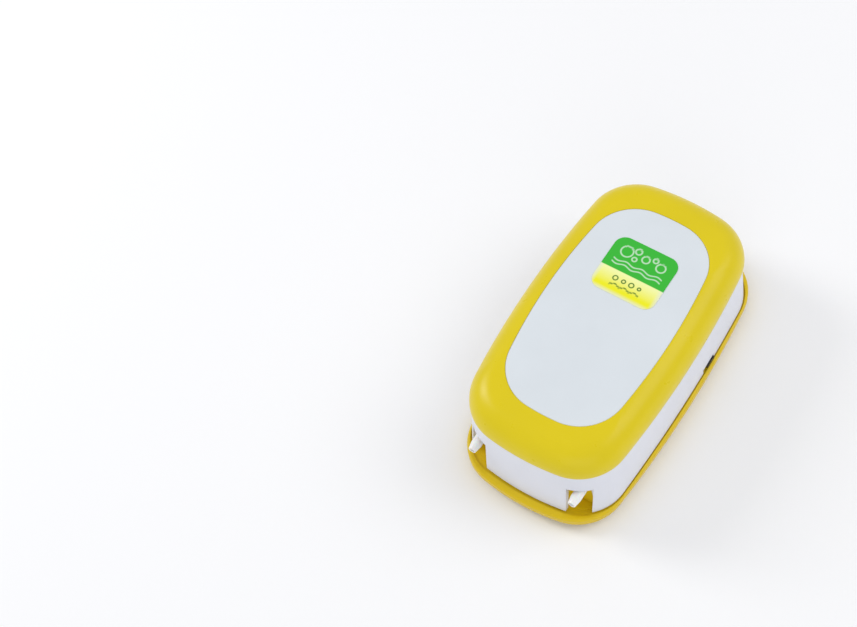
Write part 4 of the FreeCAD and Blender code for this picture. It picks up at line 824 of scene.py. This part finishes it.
def felt_pad():
    """A rounded slab: height is the CAD face times 1 - EDGE_DROP e^8, e being the way out to the
    edge, and two crossed sines of a few millimetres, TUFT high, roughen it."""
    low, high = (np.array(corner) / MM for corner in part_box("filter_pad"))
    middle, half = (low + high) / 2, (high - low) / 2 - (0.0, 0.0, 0.15)
    turn = np.linspace(0, 2 * np.pi, 120, endpoint=False)
    ring = np.column_stack([np.cos(turn), np.sin(turn)])
    ring = ring / np.linalg.norm(ring, ord=14, axis=1, keepdims=True)
    out = np.sin(np.linspace(0.04, np.pi / 2, 30))
    face = np.concatenate([out, out[::-1][1:]])[:, None]
    side = np.where(np.arange(len(face)) < len(out), -1, 1)[:, None]
    x, y = face * ring[:, 0] * half[0], face * ring[:, 1] * half[1]
    tuft = TUFT * np.sin(x * 1.9) * np.sin(y * 2.3 + 0.7)
    z = side * (half[2] * (1 - face ** 8 * EDGE_DROP) + tuft * (1 - face ** 8))
    grid = np.stack([x + middle[0], y + middle[1], z + middle[2]], 2)
    return surface("felt_pad", grid * MM, FELT, fans=(True, True))


pad_piece = placed(felt_pad(), "filter_pad")
print("felt pad:", len(pad_piece.data.polygons), "faces")

# %% [markdown]
# ## Studio
# A product shot stands on a pale sheet under large soft boxes. A picture of a studio could light
# it too, but lamps of a known size and place can be moved and measured one by one. The world
# gives an even base light. The main box hangs high at the right rear, so the right wall is the
# brightest and a soft strip runs down the right of the lid. A second box on the left draws the
# long highlight on the left shoulder, and a wide third one at the front keeps the outlet bays
# readable without a hard spot on the lid.

# %% Floor and lamps
PAPER_FIBRE, FLOOR_HALF = 1.5, 4.0


def studio_floor():
    """A matt sheet FLOOR_HALF metres to each side, with a fibre PAPER_FIBRE millimetres long."""
    material, tree, mm = new_finish("studio_paper")
    fibre = add(tree, "ShaderNodeTexNoise", Vector=mm, Scale=1 / PAPER_FIBRE, Detail=3.0)
    tone = add(tree, "ShaderNodeMapRange", Value=fibre, To_Min=0.945, To_Max=0.955)
    sheet = add(tree, "ShaderNodeBsdfDiffuse", Color=tone)
    add(tree, "ShaderNodeOutputMaterial", Surface=sheet)
    x, y = np.meshgrid([-FLOOR_HALF, FLOOR_HALF], [-FLOOR_HALF, FLOOR_HALF])
    grid = np.stack([x, y, np.zeros_like(x)], 2)
    return surface("studio_floor", grid, material, around=False)


def soft_box(name, toward, distance, size, power):
    """An area lamp at a distance along a direction from the pump, facing it."""
    aim = Vector((0, 0, 0.04))
    lamp = bpy.data.lights.new(name, "AREA")
    lamp.shape, lamp.energy = "RECTANGLE", power
    lamp.size, lamp.size_y = size
    item = bpy.data.objects.new(name, lamp)
    item.location = aim + Vector(toward).normalized() * distance
    item.rotation_euler = (aim - item.location).to_track_quat("-Z", "Y").to_euler()
    bpy.context.scene.collection.objects.link(item)
    return item


def base_light(strength):
    """An even, barely cool light from every side."""
    world = bpy.data.worlds.new("studio")
    world.use_nodes = True
    world.node_tree.nodes.clear()
    sky = add(world.node_tree, "ShaderNodeBackground", Color=linear("#FAFBFF"), Strength=strength)
    add(world.node_tree, "ShaderNodeOutputWorld", Surface=sky)
    bpy.context.scene.world = world


# The world's strength, and the power of each box in watts.
WORLD, MAIN, LEFT, FRONT = 0.66, 4.6, 4.0, 2.2
base_light(WORLD)
studio_floor()
soft_box("main_box", (0.55, 0.4, 0.75), 1.3, (0.9, 0.9), MAIN)
soft_box("left_box", (-0.8, -0.15, 0.6), 1.2, (0.35, 0.6), LEFT)
soft_box("front_box", (0.5, -0.9, 0.45), 1.3, (1.2, 0.9), FRONT)
print("studio lit")
